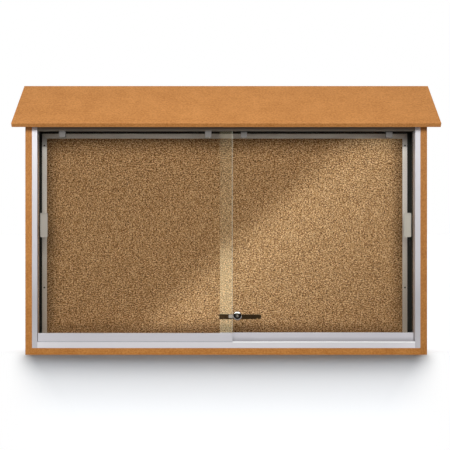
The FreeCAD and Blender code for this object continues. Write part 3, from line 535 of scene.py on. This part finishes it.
LUMBER_UP = PlasticLumber(
    "cedar_lumber_upright",
    grain=Grain.UPWARD,
    patches=(
        # Painted shade: the right side panel's front face a little darker
        Patch(BLACK, 0.12, (("Y", -0.0460, -0.0468), ("X", 0.5, 0.54))),
        # Painted shade: the side panels' inner faces behind the frame near black, lighter towards
        # the top
        Patch(paint(46, 46, 40), 1.0, SHADED_INSIDE),
        Patch(paint(76, 74, 66), 1.0, (*SHADED_INSIDE, ("Z", 0.12, 0.62))),
    ),
)
LUMBER_ACROSS = PlasticLumber("cedar_lumber_across")
# Painted light: the roof's tones lighter than the other boards'
LUMBER_ROOF = PlasticLumber("cedar_lumber_roof", paint(176, 114, 54), paint(206, 142, 78))
LUMBER_CLEAT = PlasticLumber("cedar_lumber_cleat", grain=Grain.INWARD)
BLACK_BOARD = Layered(
    "black_back_board", paint(30, 29, 25), paint(50, 49, 43), 0.62, Grain.UPWARD,
    (
        Layer(240.0, 9.0, tone=1.4, height=1.0, detail=3.0),
        Layer(800.0, 800.0, tone=0.8, rough=0.3, height=1.0),
    ),
    gloss=0.2,
)
FRAME_ACROSS = DrawnAluminium("frame_aluminium_across")
FRAME_UP = DrawnAluminium(
    "frame_aluminium_upright", paint(208, 205, 209), paint(174, 172, 175), 0.4, Grain.UPWARD
)
# Painted shade: the rear shoe darker towards its foot, behind the sill's lip
SHOE_REAR = DrawnAluminium(
    "shoe_aluminium_rear", patches=(Patch(BLACK, 0.34, (("Z", 0.052, 0.037),)),)
)
# Painted light and shade: the sill's tones lighter, a painted highlight on the lip's top right of
# the front door's end, and a painted shadow line on its top to the left
SILL_LIT_AND_SHADED = DrawnAluminium(
    "sill_aluminium_painted_light_and_shade", paint(243, 240, 243), paint(220, 217, 220), 0.36,
    patches=(
        Patch(WHITE, 1.0, (("Z", 0.0333, 0.0345), ("X", 0.016, 0.020))),
        Patch(paint(60, 66, 76), 0.85, (("Z", 0.0363, 0.0367), ("X", 0.020, 0.016))),
    ),
)
# Painted shade: the head track's tones darkened, as in the eave's shadow
HEAD_SHADED = DrawnAluminium("head_aluminium_painted_shade", paint(112, 102, 90), paint(90, 81, 71), 0.5)
TRIM_ACROSS = DrawnAluminium("trim_aluminium_across", paint(198, 189, 176), paint(170, 161, 149))
TRIM_UP = DrawnAluminium(
    "trim_aluminium_upright", paint(214, 205, 196), paint(186, 177, 168),
    grain=Grain.UPWARD,
    patches=(
        # Painted shade towards the trims' foot, deeper on the right trim
        Patch(paint(190, 174, 156), 0.85, (SHADED_FOOT,)),
        Patch(BLACK, 0.18, (SHADED_FOOT, ("X", 0.0, 0.1))),
        # Painted light in a band below z 0.6 and painted shadow above it, at the edge of the
        # head's shadow
        Patch(paint(250, 246, 240), 0.35, (("Z", 0.560, 0.590), ("Z", 0.602, 0.598))),
        Patch(BLACK, 0.34, (("Z", 0.598, 0.602),)),
    ),
)
# Painted shade on the front pull and painted light on the rear pull: one aluminium in a darker and
# a lighter tone
PULL_FRONT = DrawnAluminium(
    "pull_aluminium_front", paint(157, 150, 140), paint(132, 125, 115), 0.46, Grain.UPWARD
)
PULL_REAR = DrawnAluminium(
    "pull_aluminium_rear", paint(178, 172, 160), paint(150, 145, 134), 0.46, Grain.UPWARD
)
CORK = NaturalCork("natural_cork")
BACKER = Layered(
    "brown_hardboard", paint(74, 50, 32), paint(118, 86, 58), 0.7, Grain.UPWARD,
    (Layer(420.0, 160.0, tone=1.0, height=1.0, detail=4.0, harsh=0.7),),
)
GLASS = FloatGlass("clear_float_glass")
EDGE = Layered(
    "ground_glass_edge", paint(176, 172, 152), paint(206, 204, 186), 0.45, Grain.UPWARD,
    (Layer(1400.0, 30.0, tone=1.0, rough=0.2, height=1.0),),
    relief=(0.3, 0.0001),
)
RUBBER = Moulded("black_rubber", paint(34, 34, 34), paint(58, 58, 57), 0.62)
NYLON = Moulded("grey_nylon", paint(118, 111, 105), paint(96, 90, 85), 0.5)
# Painted shade: the top guides' nylon darkened, as in the eave's shadow
GUIDE_SHADED = Moulded("guide_nylon_painted_shade", paint(100, 95, 90), paint(80, 76, 72), 0.5)
AXLE = PlatedMetal("bright_axle_steel", paint(208, 208, 208), paint(158, 158, 158), 0.22)
DARK_SCREW = PlatedMetal(
    "dark_trim_screw_steel", paint(84, 80, 74), paint(58, 55, 50), 0.42, metal=0.6
)
ZINC = PlatedMetal("zinc_screw_steel", paint(196, 197, 200), paint(150, 150, 152), 0.33)
CHROME = PlatedMetal("lock_chrome_bright", paint(232, 231, 228), paint(206, 205, 202), 0.07)
SATIN_NOSE = PlatedMetal(
    "lock_chrome_satin_nose", CHROME.low, CHROME.high, CHROME.rough,
    layers=(Layer(900.0, 225.0, tone=0.9, rough=0.05, height=1.0),),
    patches=(Patch(paint(184, 175, 162), 1.0, (("X", 0.0190, 0.0176),), -0.7, 0.3),),
    middle=0.3,
)
PLUG_NICKEL = PlatedMetal(
    "lock_plug_nickel", paint(222, 214, 200), paint(222, 214, 200), 0.28,
    layers=(Layer(900.0, 900.0, rough=0.12, height=1.0),),
    # Painted shade: a dark ring on the plug's face round its middle
    patches=(Patch(paint(92, 84, 74), 1.0, SHADED_PLUG_RING, axis=(0.0318, 0.1110)),),
    metal=0.72,
)
BRASS = PlatedMetal("pawl_brass", paint(206, 172, 104), paint(160, 128, 70), 0.3)
BRONZED = Layered(
    "bronzed_bar_steel", paint(42, 32, 19), paint(86, 66, 42), 0.38,
    layers=(
        Layer(240.0, 240.0, tone=1.0, detail=3.0),
        Layer(1500.0, 60.0, rough=0.2, height=1.0),
    ),
    patches=(Rubbed(paint(176, 150, 108), 0.3, (("Z", 0.1118, 0.1147),)),),
    metal=0.9,
    relief=(0.2, 0.00006),
)


# Shapes


@dataclass(frozen=True)
class Shell:
    """Grids of points, of shape (pieces, rows, columns, 3), whose columns close on themselves."""

    points: np.ndarray

    def faces(self) -> np.ndarray:
        """Joins neighbouring rows and columns.

        Returns:
            Four-sided faces by point number, of shape (faces, 4).
        """
        pieces, rows, columns, _ = self.points.shape
        number = np.arange(pieces * rows * columns).reshape(pieces, rows, columns)
        beside = np.roll(number, -1, axis=2)
        corners = (number[:, :-1], beside[:, :-1], beside[:, 1:], number[:, 1:])
        return np.stack(corners, axis=-1).reshape(-1, 4)


def to_mesh(name: str, shells: Sequence[Shell]) -> bpy.types.Mesh:
    """Joins shells into one mesh, closes their poles and points its faces outwards.

    Faces that meet at more than the crisp angle keep a crisp edge.

    Args:
        name: the mesh's name.
        shells: the grids of points, in metres.
    Returns:
        The mesh.
    """
    points = np.concatenate([shell.points.reshape(-1, 3) for shell in shells])
    starts = np.cumsum([0] + [shell.points[..., 0].size for shell in shells[:-1]])
    faces = np.concatenate([shell.faces() + start for shell, start in zip(shells, starts)])
    mesh = bpy.data.meshes.new(name)
    mesh.from_pydata(points, [], faces.tolist())
    work = bmesh.new()
    work.from_mesh(mesh)
    bmesh.ops.remove_doubles(work, verts=work.verts, dist=1e-7)
    bmesh.ops.dissolve_degenerate(work, edges=work.edges, dist=1e-8)
    bmesh.ops.recalc_face_normals(work, faces=work.faces)
    work.to_mesh(mesh)
    work.free()
    mesh.polygons.foreach_set("use_smooth", np.ones(len(mesh.polygons), bool))
    mesh.set_sharp_from_angle(angle=np.radians(CRISP_ANGLE))
    mesh.update()
    return mesh


def turned(profile: np.ndarray, steps: int) -> np.ndarray:
    """Turns a profile about its own axis: x = r cos t, y = r sin t, z = height.

    Args:
        profile: rows of radius and height.
        steps: columns round the axis.
    Returns:
        Points of shape (rows, steps, 3).
    """
    angle = np.linspace(0.0, 2.0 * np.pi, steps, endpoint=False)
    radius, height = profile[:, :1], profile[:, 1:]
    points = [radius * np.cos(angle), radius * np.sin(angle), height + 0.0 * angle]
    return np.stack(points, axis=-1)


def aimed(points: np.ndarray, place: Sequence[float], way: Way) -> np.ndarray:
    """Carries points in millimetres to a place, their height looking this way, in metres."""
    return (points @ np.array(way.value, float) + np.asarray(place, float)) * MM


def strip(low: Triple, high: Triple, arris: float) -> np.ndarray:
    """An upright strip with ground corners: an eight-sided outline carried from low to high.

    Args:
        low, high: the strip's corners, in millimetres.
        arris: what is ground off its four upright corners.
    Returns:
        Points of shape (rows, 8, 3), in metres, closed at both ends by a row on the middle line.
    """
    across = np.array([0, 1, 1, 1, 1, 0, 0, 0], float)
    inward = np.array([0, 0, 0, 1, 1, 1, 1, 0], float)
    shift_x = np.array([1, -1, 0, 0, -1, 1, 0, 0], float) * arris
    shift_y = np.array([0, 0, 1, -1, 0, 0, -1, 1], float) * arris
    x = low[0] + across * (high[0] - low[0]) + shift_x
    y = low[1] + inward * (high[1] - low[1]) + shift_y
    middle_x, middle_y = (low[0] + high[0]) / 2, (low[1] + high[1]) / 2
    size = np.array([0.0, 1.0, 1.0, 0.0])[:, None]
    height = np.array([low[2], low[2], high[2], high[2]])[:, None]
    points = [middle_x + size * (x - middle_x), middle_y + size * (y - middle_y), height + 0.0 * x]
    return MM * np.stack(points, axis=-1)


def placed(name: str, data: bpy.types.ID) -> Thing:
    """A new object of this mesh, lamp or camera, in the scene."""
    thing = bpy.data.objects.new(name, data)
    bpy.context.scene.collection.objects.link(thing)
    return thing


class Bench:
    """Where the pieces are dressed: it knows the loaded solids and reports each piece."""

    def __init__(self, nodes: Mapping[str, Thing]) -> None:
        """Keeps the loaded solids by name."""
        self.nodes = nodes
        self.bare = set(nodes)

    def dress(self, finish: Finish, *names: str) -> None:
        """Gives solids their finish.

        Args:
            finish: the finish.
            names: the solids' names.
        """
        for name in names:
            mesh = self.nodes[name].data
            mesh.materials.clear()
            mesh.materials.append(material_of(finish))
            self.bare.discard(name)
            log.info("%s wears %s", name, finish.name)

    def add(
        self, mesh: bpy.types.Mesh, body: str, finish: Finish, slot: str, *stands_for: str
    ) -> None:
        """Puts a new piece in the scene on the body that it moves with.

        Args:
            mesh: the piece's shape, already in place.
            body: the body that carries it.
            finish: its finish.
            slot: the record's material slot it belongs to; not used.
            stands_for: solids that it replaces.
        """
        piece = placed(mesh.name, mesh)
        mesh.materials.append(material_of(finish))
        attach(piece, body)
        if stands_for:
            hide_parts(*stands_for)
            self.bare -= set(stands_for)
        log.info("%s rides on %s: %d faces", piece.name, body, len(mesh.polygons))


@dataclass(frozen=True)
class CrossScrew:
    """A pan-head screw with a cross recess, in millimetres."""

    head: float
    tall: float
    shank: float
    grip: float
    rings: int = 11
    steps: int = 40
    crown: float = 0.94
    arm: Pair = (0.17, 0.08)
    reach: Pair = (0.62, 0.1)
    cut: Pair = (0.78, 0.35)

    def shape(self) -> np.ndarray:
        """The screw about its own axis, its seat at height 0 and its head above.

        The crown's height is the head's height times 0.6 + 0.4 sqrt(1 - (r / R)^2). The cross is
        taken out where the smaller of |x| and |y| is within an arm's half width and r within its
        reach, both with a soft edge, and less deep towards the arms' ends.

        Returns:
            Points of shape (rows, steps, 3).
        """
        share = np.linspace(0.0, self.crown, self.rings)
        height = self.tall * (0.6 + 0.4 * np.sqrt(1.0 - share**2))
        top = turned(np.stack([self.head * share, height], axis=-1), self.steps)
        near = np.minimum(np.abs(top[..., 0]), np.abs(top[..., 1])) / self.head
        far = np.hypot(top[..., 0], top[..., 1]) / self.head
        arm = np.clip((self.arm[0] - near) / self.arm[1] + 0.5, 0.0, 1.0)
        reach = np.clip((self.reach[0] - far) / self.reach[1] + 0.5, 0.0, 1.0)
        top[..., 2] -= arm * reach * self.tall * (self.cut[0] - self.cut[1] * far)
        sides = [
            (self.head * 0.99, self.tall * 0.62),
            (self.head, self.tall * 0.5),
            (self.head, 0.04),
            (self.head - 0.04, 0.0),
            (self.shank, 0.0),
            (self.shank, -self.grip * 0.86),
            (0.0, -self.grip),
        ]
        return np.concatenate([top, turned(np.array(sides), self.steps)])

    def drive(
        self, bench: Bench, name: str, seats: Sequence[Seat], finish: Finish, stands_for: str
    ) -> None:
        """Drives like screws into the case, as one piece.

        Args:
            bench: where the pieces are dressed.
            name: the piece's name.
            seats: each screw's seat, in millimetres, and the way its head looks.
            finish: their finish.
            stands_for: the solid that they replace.
        """
        shape = self.shape()
        stack = np.stack([aimed(shape, place, way) for place, way in seats])
        bench.add(to_mesh(name, [Shell(stack)]), "case", finish, "screw_steel", stands_for)


@dataclass
class Case:
    """The lumber case: panels, roof, cleats and the screws in its sides, in millimetres."""

    bench: Bench
    side_face: float = 571.5
    sink: float = 3.2
    low_z: float = 9.5
    high_z: float = 659.35
    low_y: tuple[float, ...] = (-27.07, 17.93, 62.93)
    high_y: tuple[float, ...] = (-27.07, 11.58, 50.23)
    back_y: float = 76.58
    back_z: tuple[float, ...] = (170.0, 335.0, 500.0)
    screw: CrossScrew = CrossScrew(head=4.2, tall=2.6, shank=2.0, grip=40.0)

    def build(self) -> None:
        """Dresses the boards, the grain along each, and puts nine screws in each side panel."""
        self.bench.dress(LUMBER_UP, "side_panel_left", "side_panel_right")
        self.bench.dress(LUMBER_ACROSS, "bottom_panel", "top_panel")
        self.bench.dress(LUMBER_ROOF, "roof_panel")
        self.bench.dress(LUMBER_CLEAT, "roof_cleat_left", "roof_cleat_middle", "roof_cleat_right")
        self.bench.dress(BLACK_BOARD, "back_panel")
        seat = self.side_face - self.sink
        spots = [(y, self.low_z) for y in self.low_y] + [(y, self.high_z) for y in self.high_y]
        spots += [(self.back_y, z) for z in self.back_z]
        places = [((-seat, y, z), Way.LEFT) for y, z in spots]
        places += [((seat, y, z), Way.RIGHT) for y, z in spots]
        self.screw.drive(self.bench, "case_side_screws", places, ZINC, "case_screws")


@dataclass
class TrackFrame:
    """The two-track aluminium frame in the case's opening, in millimetres."""

    bench: Bench
    screw_x: tuple[float, ...] = (-494.0, -247.0, 0.0, 247.0, 494.0)
    sill_y: float = -33.07
    sill_z: float = 20.6
    head_y: float = -39.67
    head_z: float = 651.4
    screw: CrossScrew = CrossScrew(head=3.2, tall=1.8, shank=1.5, grip=12.0)

    def build(self) -> None:
        """Dresses the tracks and jambs and adds their screws."""
        self.bench.dress(SILL_LIT_AND_SHADED, "sill_track")
        self.bench.dress(HEAD_SHADED, "head_track")
        self.bench.dress(FRAME_UP, "jamb_left", "jamb_right")
        places = [((x, self.sill_y, self.sill_z), Way.UP) for x in self.screw_x]
        places += [((x, self.head_y, self.head_z), Way.DOWN) for x in self.screw_x]
        self.screw.drive(self.bench, "track_fixing_screws", places, ZINC, "track_screws")


@dataclass
class CorkBoard:
    """The cork board with its backer, mitred trims and trim screws, in millimetres."""

    bench: Bench
    screw_x: tuple[float, ...] = (-537.9, 529.1)
    screw_z: tuple[float, ...] = (184.0, 394.0, 604.0)
    face_y: float = 56.23
    screw: CrossScrew = CrossScrew(head=2.6, tall=1.2, shank=1.25, grip=12.0)

    def build(self) -> None:
        """Dresses the board and adds the screws in its side trims."""
        self.bench.dress(CORK, "cork_sheet")
        self.bench.dress(BACKER, "cork_backer")
        self.bench.dress(TRIM_UP, "cork_trim_left", "cork_trim_right")
        self.bench.dress(TRIM_ACROSS, "cork_trim_bottom", "cork_trim_top")
        places = [((x, self.face_y, z), Way.FRONT) for x in self.screw_x for z in self.screw_z]
        self.screw.drive(self.bench, "board_trim_screws", places, DARK_SCREW, "trim_screws")


@dataclass
class Door:
    """One sliding door: pane, gasket, shoe, rollers, guides and finger pull, in millimetres."""

    bench: Bench
    name: str
    on_view: bool
    edge_inset: float = 0.3
    fold: float = 0.8
    arris: float = 0.6
    skin: float = 0.06
    off_pane: float = 0.01

    def edges(self) -> None:
        """Adds the ground upright edge at the pane's right end, as thin strips round it."""
        low, high = (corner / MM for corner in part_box(self.name + "_glass"))
        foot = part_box(self.name + "_door_shoe")[1].z / MM + 0.1
        right = high.x - self.edge_inset
        boxes = [
            (right - self.fold, right, low.y - self.skin, low.y - self.off_pane),
            (right - self.fold, right, high.y + self.off_pane, high.y + self.skin),
            (high.x + self.off_pane, high.x + self.skin, low.y + self.arris, high.y - self.arris),
        ]
        shells = [
            Shell(strip((x0, y0, foot), (x1, y1, high.z), self.off_pane)[None])
            for x0, x1, y0, y1 in boxes
        ]
        mesh = to_mesh(self.name + "_glass_ground_edge", shells)
        self.bench.add(mesh, self.name + "_door", EDGE, "pane")

    def build(self) -> None:
        """Dresses and adds all of the door."""
        self.bench.dress(GLASS, self.name + "_glass")
        self.bench.dress(RUBBER, self.name + "_glass_gasket")
        self.bench.dress(FRAME_ACROSS if self.on_view else SHOE_REAR, self.name + "_door_shoe")
        self.bench.dress(PULL_FRONT if self.on_view else PULL_REAR, self.name + "_finger_pull")
        pairs = {"roller_carrier": NYLON, "wheel": NYLON, "wheel_axle": AXLE, "top_guide": GUIDE_SHADED}
        for piece, finish in pairs.items():
            for side in ("left", "right"):
                self.bench.dress(finish, f"{self.name}_{piece}_{side}")
        if self.on_view:
            self.edges()


@dataclass
class RatchetLock:
    """The ratchet bar on the rear pane and the keyed lock on the bar, in millimetres."""

    bench: Bench
    face: Triple = (31.8, -55.07, 111.0)
    housing_radius: float = 13.5
    housing_round: float = 4.5
    inside: float = 8.45
    outside: float = 12.9
    proud: float = 1.2
    chamfer: float = 0.2
    crown: float = 3.3
    slopes: Triple = (2.0, 50.0, 80.0)
    lip: float = 1.2
    steps: int = 72

    def bezel(self) -> None:
        """Adds the bright bezel round the plug, a closed profile turned about the lock's axis.

        The crown falls outwards at a slope that grows evenly from the first to the second of the
        slopes, then round the lip's arc to the third, and down to the housing. Underneath it
        follows the housing: flat, then the quarter round of the housing's edge.
        """
        start, middle, end = np.radians(self.slopes)
        run = np.linspace(0.0, 1.0, 12)
        slope = start + (middle - start) * run
        radius = self.inside + self.chamfer + run * self.crown
        drops = np.tan((slope[1:] + slope[:-1]) / 2) * np.diff(radius)
        top = np.stack([radius, self.proud - np.concatenate([[0.0], np.cumsum(drops)])], axis=-1)
        bend = np.linspace(middle, end, 9)[1:]
        turn = [np.sin(bend) - np.sin(middle), np.cos(bend) - np.cos(middle)]
        arc = top[-1] + self.lip * np.stack(turn, axis=-1)
        beyond = np.linspace(self.outside, self.inside, 9)
        past = np.clip(beyond - (self.housing_radius - self.housing_round), 0.0, None)
        under = np.sqrt(self.housing_round**2 - past**2) - self.housing_round
        wall = [(self.inside, 0.0), (self.inside, self.proud - self.chamfer)]
        profile = np.concatenate([wall, top, arc, np.stack([beyond, under], axis=-1)])
        ring = aimed(turned(profile, self.steps), self.face, Way.FRONT)
        mesh = to_mesh("lock_face_bezel", [Shell(ring[None])])
        self.bench.add(mesh, "lock", CHROME, "lock_chrome")

    def build(self) -> None:
        """Dresses the bar, its pad and rivet, and the lock, and adds the bezel."""
        self.bench.dress(BRONZED, "ratchet_bar", "bar_rivet")
        self.bench.dress(RUBBER, "bar_pad")
        self.bench.dress(SATIN_NOSE, "lock_housing")
        self.bench.dress(CHROME, "lock_cover", "lock_cover_screws")
        self.bench.dress(PLUG_NICKEL, "lock_plug")
        self.bench.dress(BRASS, "lock_pawl")
        self.bezel()


# Studio


def group_of(name: str, pieces: Sequence[Thing], state: str = "INCLUDE") -> bpy.types.Collection:
    """Groups the pieces that a lamp lights, or leaves out.

    Args:
        name: the group's name.
        pieces: its pieces.
        state: INCLUDE for lit alone, EXCLUDE for left out.
    Returns:
        The group.
    """
    group = bpy.data.collections.new(name)
    for piece in pieces:
        group.objects.link(piece)
    for member in group.collection_objects:
        member.light_linking.link_state = state
    return group


def stage_piece(name: str, skin: str, *grid: np.ndarray) -> tuple[Thing, Sheet]:
    """Makes a piece of the stage.

    Args:
        name: the piece's name.
        skin: its material's name.
        grid: the x, y and z of its points, each of shape (rows, columns).
    Returns:
        The piece, and its material's sheet.
    """
    number = np.arange(grid[0].size).reshape(grid[0].shape)
    corners = (number[:-1, :-1], number[:-1, 1:], number[1:, 1:], number[1:, :-1])
    faces = np.stack(corners, axis=-1).reshape(-1, 4)
    mesh = bpy.data.meshes.new(name)
    mesh.from_pydata(np.stack(grid, axis=-1).reshape(-1, 3), [], faces.tolist())
    material, sheet = blank_material(skin)
    mesh.materials.append(material)
    return placed(name, mesh), sheet


@dataclass(frozen=True)
class SoftLamp:
    """A soft lamp that leaves the floor out, and whether bright metal mirrors it."""

    name: str
    place: Triple
    target: Triple
    power: float
    size: Pair
    mirrored: bool = False


@dataclass(frozen=True)
class SkyLamp:
    """A wide sun for the floor alone: its lean in degrees, power, width in radians and colour."""

    lean: float
    power: float
    width: float = 0.24
    colour: Triple = (1.0, 1.0, 1.0)


@dataclass
class Studio:
    """Pale floor, white surround, soft lamps, and the camera in front of the board."""

    eye: Triple = (-0.0034, -2.563, 0.369)
    lens: float = 70.75
    fill: float = 0.12
    floor_half: float = 30.0
    floor_tone: Colour = (0.58, 0.58, 0.58, 1.0)
    shade_start: float = -0.065
    shade_middle: float = -0.002
    shade_half: float = 0.576
    shade_lean: float = 0.28
    shade_soft: float = 0.08
    shade_fade: Pair = (-0.12, -0.02)
    curtain_radius: float = 3.3
    curtain_top: float = 2.2
    curtain_steps: int = 33
    card_y: float = -0.3
    card_half: float = 0.8
    card_top: float = 0.74
    card_light: Colour = (1.0, 0.89, 0.55, 1.0)
    card_power: float = 1.36
    card_foot: Pair = (0.14, 0.16)
    strip_x: float = 0.0003
    strip_side: Pair = (0.0203, 0.0194)
    strip_fade: Pair = (0.335, 0.24)
    strip_gap_z: float = 0.0800
    strip_gap: Pair = (0.0074, 0.0086)
    board_y: float = 0.058
    beam_from: Triple = (-0.1, -1.1, 0.6)
    beam_power: float = 53.0
    beam_light: Colour = (0.70, 0.86, 1.0, 1.0)
    beam_line: Pair = (-0.226, 0.073)
    beam_slant: Pair = (0.668, 0.744)
    beam_edge: float = 0.06
    beam_reach: float = 0.50
    lamps: tuple[SoftLamp, ...] = (
        SoftLamp("key_soft", (-0.15, -2.6, 1.45), (0, 0, 0.38), 69.0, (2.6, 0.95), True),
        SoftLamp("top_soft", (0.0, -0.95, 2.35), (0, 0, 0.5), 8.0, (2.4, 1.0), True),
        SoftLamp("front_soft", (0.0, -3.15, 0.55), (0, 0, 0.35), 16.0, (3.2, 1.0)),
        SoftLamp("left_soft", (-2.7, 0.45, 0.7), (-0.57, 0, 0.4), 26.0, (1.8, 1.4)),
        SoftLamp("right_soft", (2.7, 0.45, 0.7), (0.57, 0, 0.4), 26.0, (1.8, 1.4)),
        SoftLamp("back_soft", (0.0, 2.9, 1.1), (0, 0, 0.4), 48.0, (2.6, 1.4)),
    )
    sky: tuple[SkyLamp, ...] = (
        SkyLamp(4.0, 1.01, 0.24, (0.76, 0.86, 1.0)),
        SkyLamp(13.0, 0.98),
        SkyLamp(24.0, 0.96),
        SkyLamp(35.0, 0.60),
        SkyLamp(46.0, 0.95),
        SkyLamp(24.5, 1.54, 1.05),
    )

    def camera(self) -> None:
        """Sets up a level camera that looks straight at the board."""
        data = bpy.data.cameras.new("front_camera")
        data.lens, data.sensor_width = self.lens, 36.0
        data.clip_start, data.clip_end = 0.05, 200.0
        camera = placed("front_camera", data)
        camera.location = self.eye
        camera.rotation_euler = (np.pi / 2.0, 0.0, 0.0)
        bpy.context.scene.camera = camera

    def surround(self) -> None:
        """Makes a world that is white where seen or mirrored, and dimmer for fill light."""
        world = bpy.data.worlds.new("white_surround")
        bpy.context.scene.world = world
        world.use_nodes = True
        sheet = Sheet(world.node_tree)
        strength = sheet.ray("Camera", "Glossy", "Transmission") * (1.0 - self.fill) + self.fill
        ground = sheet.node("ShaderNodeBackground", {"Color": WHITE, "Strength": strength})
        sheet.surface(ground, "ShaderNodeOutputWorld")

    def floor(self) -> Thing:
        """Lays a wide pale floor under the board.

        It turns white ahead of the board's ends, past a line that leans inwards with the distance
        ahead, so the board's shadow ends there.

        Returns:
            The floor.
        """
        ends = (-self.floor_half, self.floor_half)
        x, y = np.meshgrid(ends, ends)
        floor, sheet = stage_piece("studio_floor", "studio_floor_white", x, y, 0.0 * x)
        paper = sheet.skin(Base_Color=self.floor_tone, Roughness=1.0, Specular_IOR_Level=0.0)
        x, y = sheet.axes("XY")
        ahead = self.shade_start - y
        past_end = abs(x - self.shade_middle) - self.shade_half + ahead * self.shade_lean
        soft = (ahead + 1.0) * self.shade_soft
        white = (past_end / soft + 0.5).step(0.0, 1.0) * ahead.step(*self.shade_fade)
        sheet.surface(sheet.blend(white, paper, sheet.glow(WHITE, 1.0)))
        floor.visible_diffuse = False
        return floor

    def mirrors_only(self, thing: Thing) -> None:
        """Leaves a stage piece to mirrors and panes alone."""
        for sight in ("camera", "diffuse", "shadow", "volume_scatter"):
            setattr(thing, "visible_" + sight, False)

    def curtain(self) -> None:
        """Hangs a dark half-round curtain behind the camera that only mirrors show.

        The curtain's foot is the half circle x = r sin t, y = -r cos t, carried straight up.
        """
        angles = np.linspace(-np.pi / 2.0, np.pi / 2.0, self.curtain_steps)
        angle, z = np.meshgrid(angles, (0.001, self.curtain_top))
        x, y = self.curtain_radius * np.sin(angle), -self.curtain_radius * np.cos(angle)
        curtain, sheet = stage_piece("studio_curtain", "studio_curtain_dark", x, y, z)
        dark = (0.03, 0.03, 0.03, 1.0)
        sheet.surface(sheet.skin(Base_Color=dark, Roughness=1.0, Specular_IOR_Level=0.0))
        self.mirrors_only(curtain)

    def card(self, panes: Sequence[Thing]) -> None:
        """Stands a black card with a light strip ahead of the board, that only mirrors show.

        The panes show all of it, and bright metal its black foot alone. The strip falls on the
        doors' overlap, is brightest at its foot and has a gap at the height of the ratchet bar.

        Args:
            panes: the panes that mirror the strip.
        """
        x, z = np.meshgrid((-self.card_half, self.card_half), (0.0, self.card_top))
        y = np.full_like(x, self.card_y)
        card, sheet = stage_piece("studio_card", "studio_card_lit_corner", x, y, z)
        x, z = sheet.axes("XZ")
        upright = abs(x - self.strip_x).step(*self.strip_side)
        beside_bar = abs(z - self.strip_gap_z).step(*self.strip_gap)
        rise = z.step(*self.strip_fade) * (0.8 + (0.18 - z).larger(0.0) * 2.0)
        lit = upright * beside_bar * (rise + 0.27)
        light = sheet.glow(sheet.mix(lit, BLACK, self.card_light), self.card_power)
        seen = sheet.ray("Singular").larger(1.0 - z.step(*self.card_foot))
        sheet.surface(sheet.blend(seen, sheet.clear(WHITE), light))
        card.light_linking.receiver_collection = group_of("panes_only", panes)
        self.mirrors_only(card)

    def lamp(self, name: str, kind: str, place: Triple, power: float) -> Thing:
        """A new lamp of this kind, AREA, SUN or SPOT, at this place."""
        data = bpy.data.lights.new(name, kind)
        data.energy = power
        lamp = placed(name, data)
        lamp.location = place
        return lamp

    def beam(self, board: Sequence[Thing]) -> None:
        """Throws a soft slanting beam on the cork board alone.

        The beam's strength at a point of the board runs with the distance past a slanting line:
        it rises smoothly over the line and falls off evenly beyond it, and is weaker on the
        board's rim. The point is where the ray from the lamp, with its direction in the lamp's
        own space, meets the board's plane.

        Args:
            board: the pieces that the beam lights.
        """
        lamp = self.lamp("board_beam", "SPOT", self.beam_from, self.beam_power)
        lamp.rotation_euler = (np.pi / 2.0, 0.0, 0.0)
        lamp.data.spot_size, lamp.data.spot_blend, lamp.data.shadow_soft_size = 2.8, 0.0, 0.0
        lamp.data.use_nodes = True
        sheet = Sheet(lamp.data.node_tree)
        ray = sheet.node("ShaderNodeTexCoord", out="Normal")
        side, rise, ahead = sheet.axes("XYZ", ray)
        reach = (self.board_y - self.beam_from[1]) / abs(ahead).larger(0.01)
        x = side * reach + self.beam_from[0]
        z = rise * reach + self.beam_from[2]
        past = (x - self.beam_line[0]) * self.beam_slant[0]
        past = past - (z - self.beam_line[1]) * self.beam_slant[1]
        fade = (1.0 - (past - self.beam_edge) / self.beam_reach).larger(0.0)
        rim = cork_shade_rim(x, z) * 0.8
        strength = past.step(-self.beam_edge, self.beam_edge) * fade * (1.0 - rim)
        sheet.surface(sheet.glow(self.beam_light, strength), "ShaderNodeOutputLight")
        group = group_of("cork_board_only", board)
        lamp.light_linking.receiver_collection = group
        lamp.light_linking.blocker_collection = group

    def hang(self, floor: Thing) -> None:
        """Hangs the soft lamps, which leave the floor out, and the skies for the floor alone.

        Args:
            floor: the floor.
        """
        floor_left_out = group_of("floor_left_out", [floor], "EXCLUDE")
        for soft in self.lamps:
            lamp = self.lamp(soft.name, "AREA", soft.place, soft.power)
            lamp.data.shape, (lamp.data.size, lamp.data.size_y) = "RECTANGLE", soft.size
            way = Vector(soft.target) - Vector(soft.place)
            lamp.rotation_euler = way.to_track_quat("-Z", "Y").to_euler()
            lamp.visible_glossy = soft.mirrored
            lamp.light_linking.receiver_collection = floor_left_out
        floor_only = group_of("floor_only", [floor])
        for sky in self.sky:
            lamp = self.lamp("floor_sky", "SUN", (0.0, 1.0, 3.0), sky.power)
            lamp.data.angle, lamp.data.color = sky.width, sky.colour
            lamp.rotation_euler = (-np.radians(sky.lean), 0.0, 0.0)
            lamp.light_linking.receiver_collection = floor_only

    def build(self, nodes: Mapping[str, Thing]) -> None:
        """Sets up the whole studio.

        Args:
            nodes: the loaded solids, among them the panes and the cork.
        """
        self.camera()
        self.surround()
        floor = self.floor()
        self.curtain()
        self.card([nodes["front_glass"], nodes["rear_glass"]])
        self.beam([nodes["cork_sheet"]])
        self.hang(floor)
        bpy.context.scene.view_settings.view_transform = "Standard"
        log.info("studio: camera %.1f mm, floor, card and lamps", self.lens)


def main() -> None:
    """Builds the studio and every sub-assembly of the board."""
    logging.basicConfig(level=logging.INFO, format="%(name)s: %(message)s")
    bench = Bench(frame["nodes"])
    Studio().build(bench.nodes)
    doors = (Door(bench, "front", on_view=True), Door(bench, "rear", on_view=False))
    for assembly in (Case(bench), TrackFrame(bench), CorkBoard(bench), *doors, RatchetLock(bench)):
        assembly.build()
        log.info("%s is done", type(assembly).__name__)
    if bench.bare:
        log.warning("undressed: %s", ", ".join(sorted(bench.bare)))


if __name__ == "__main__":
    main()
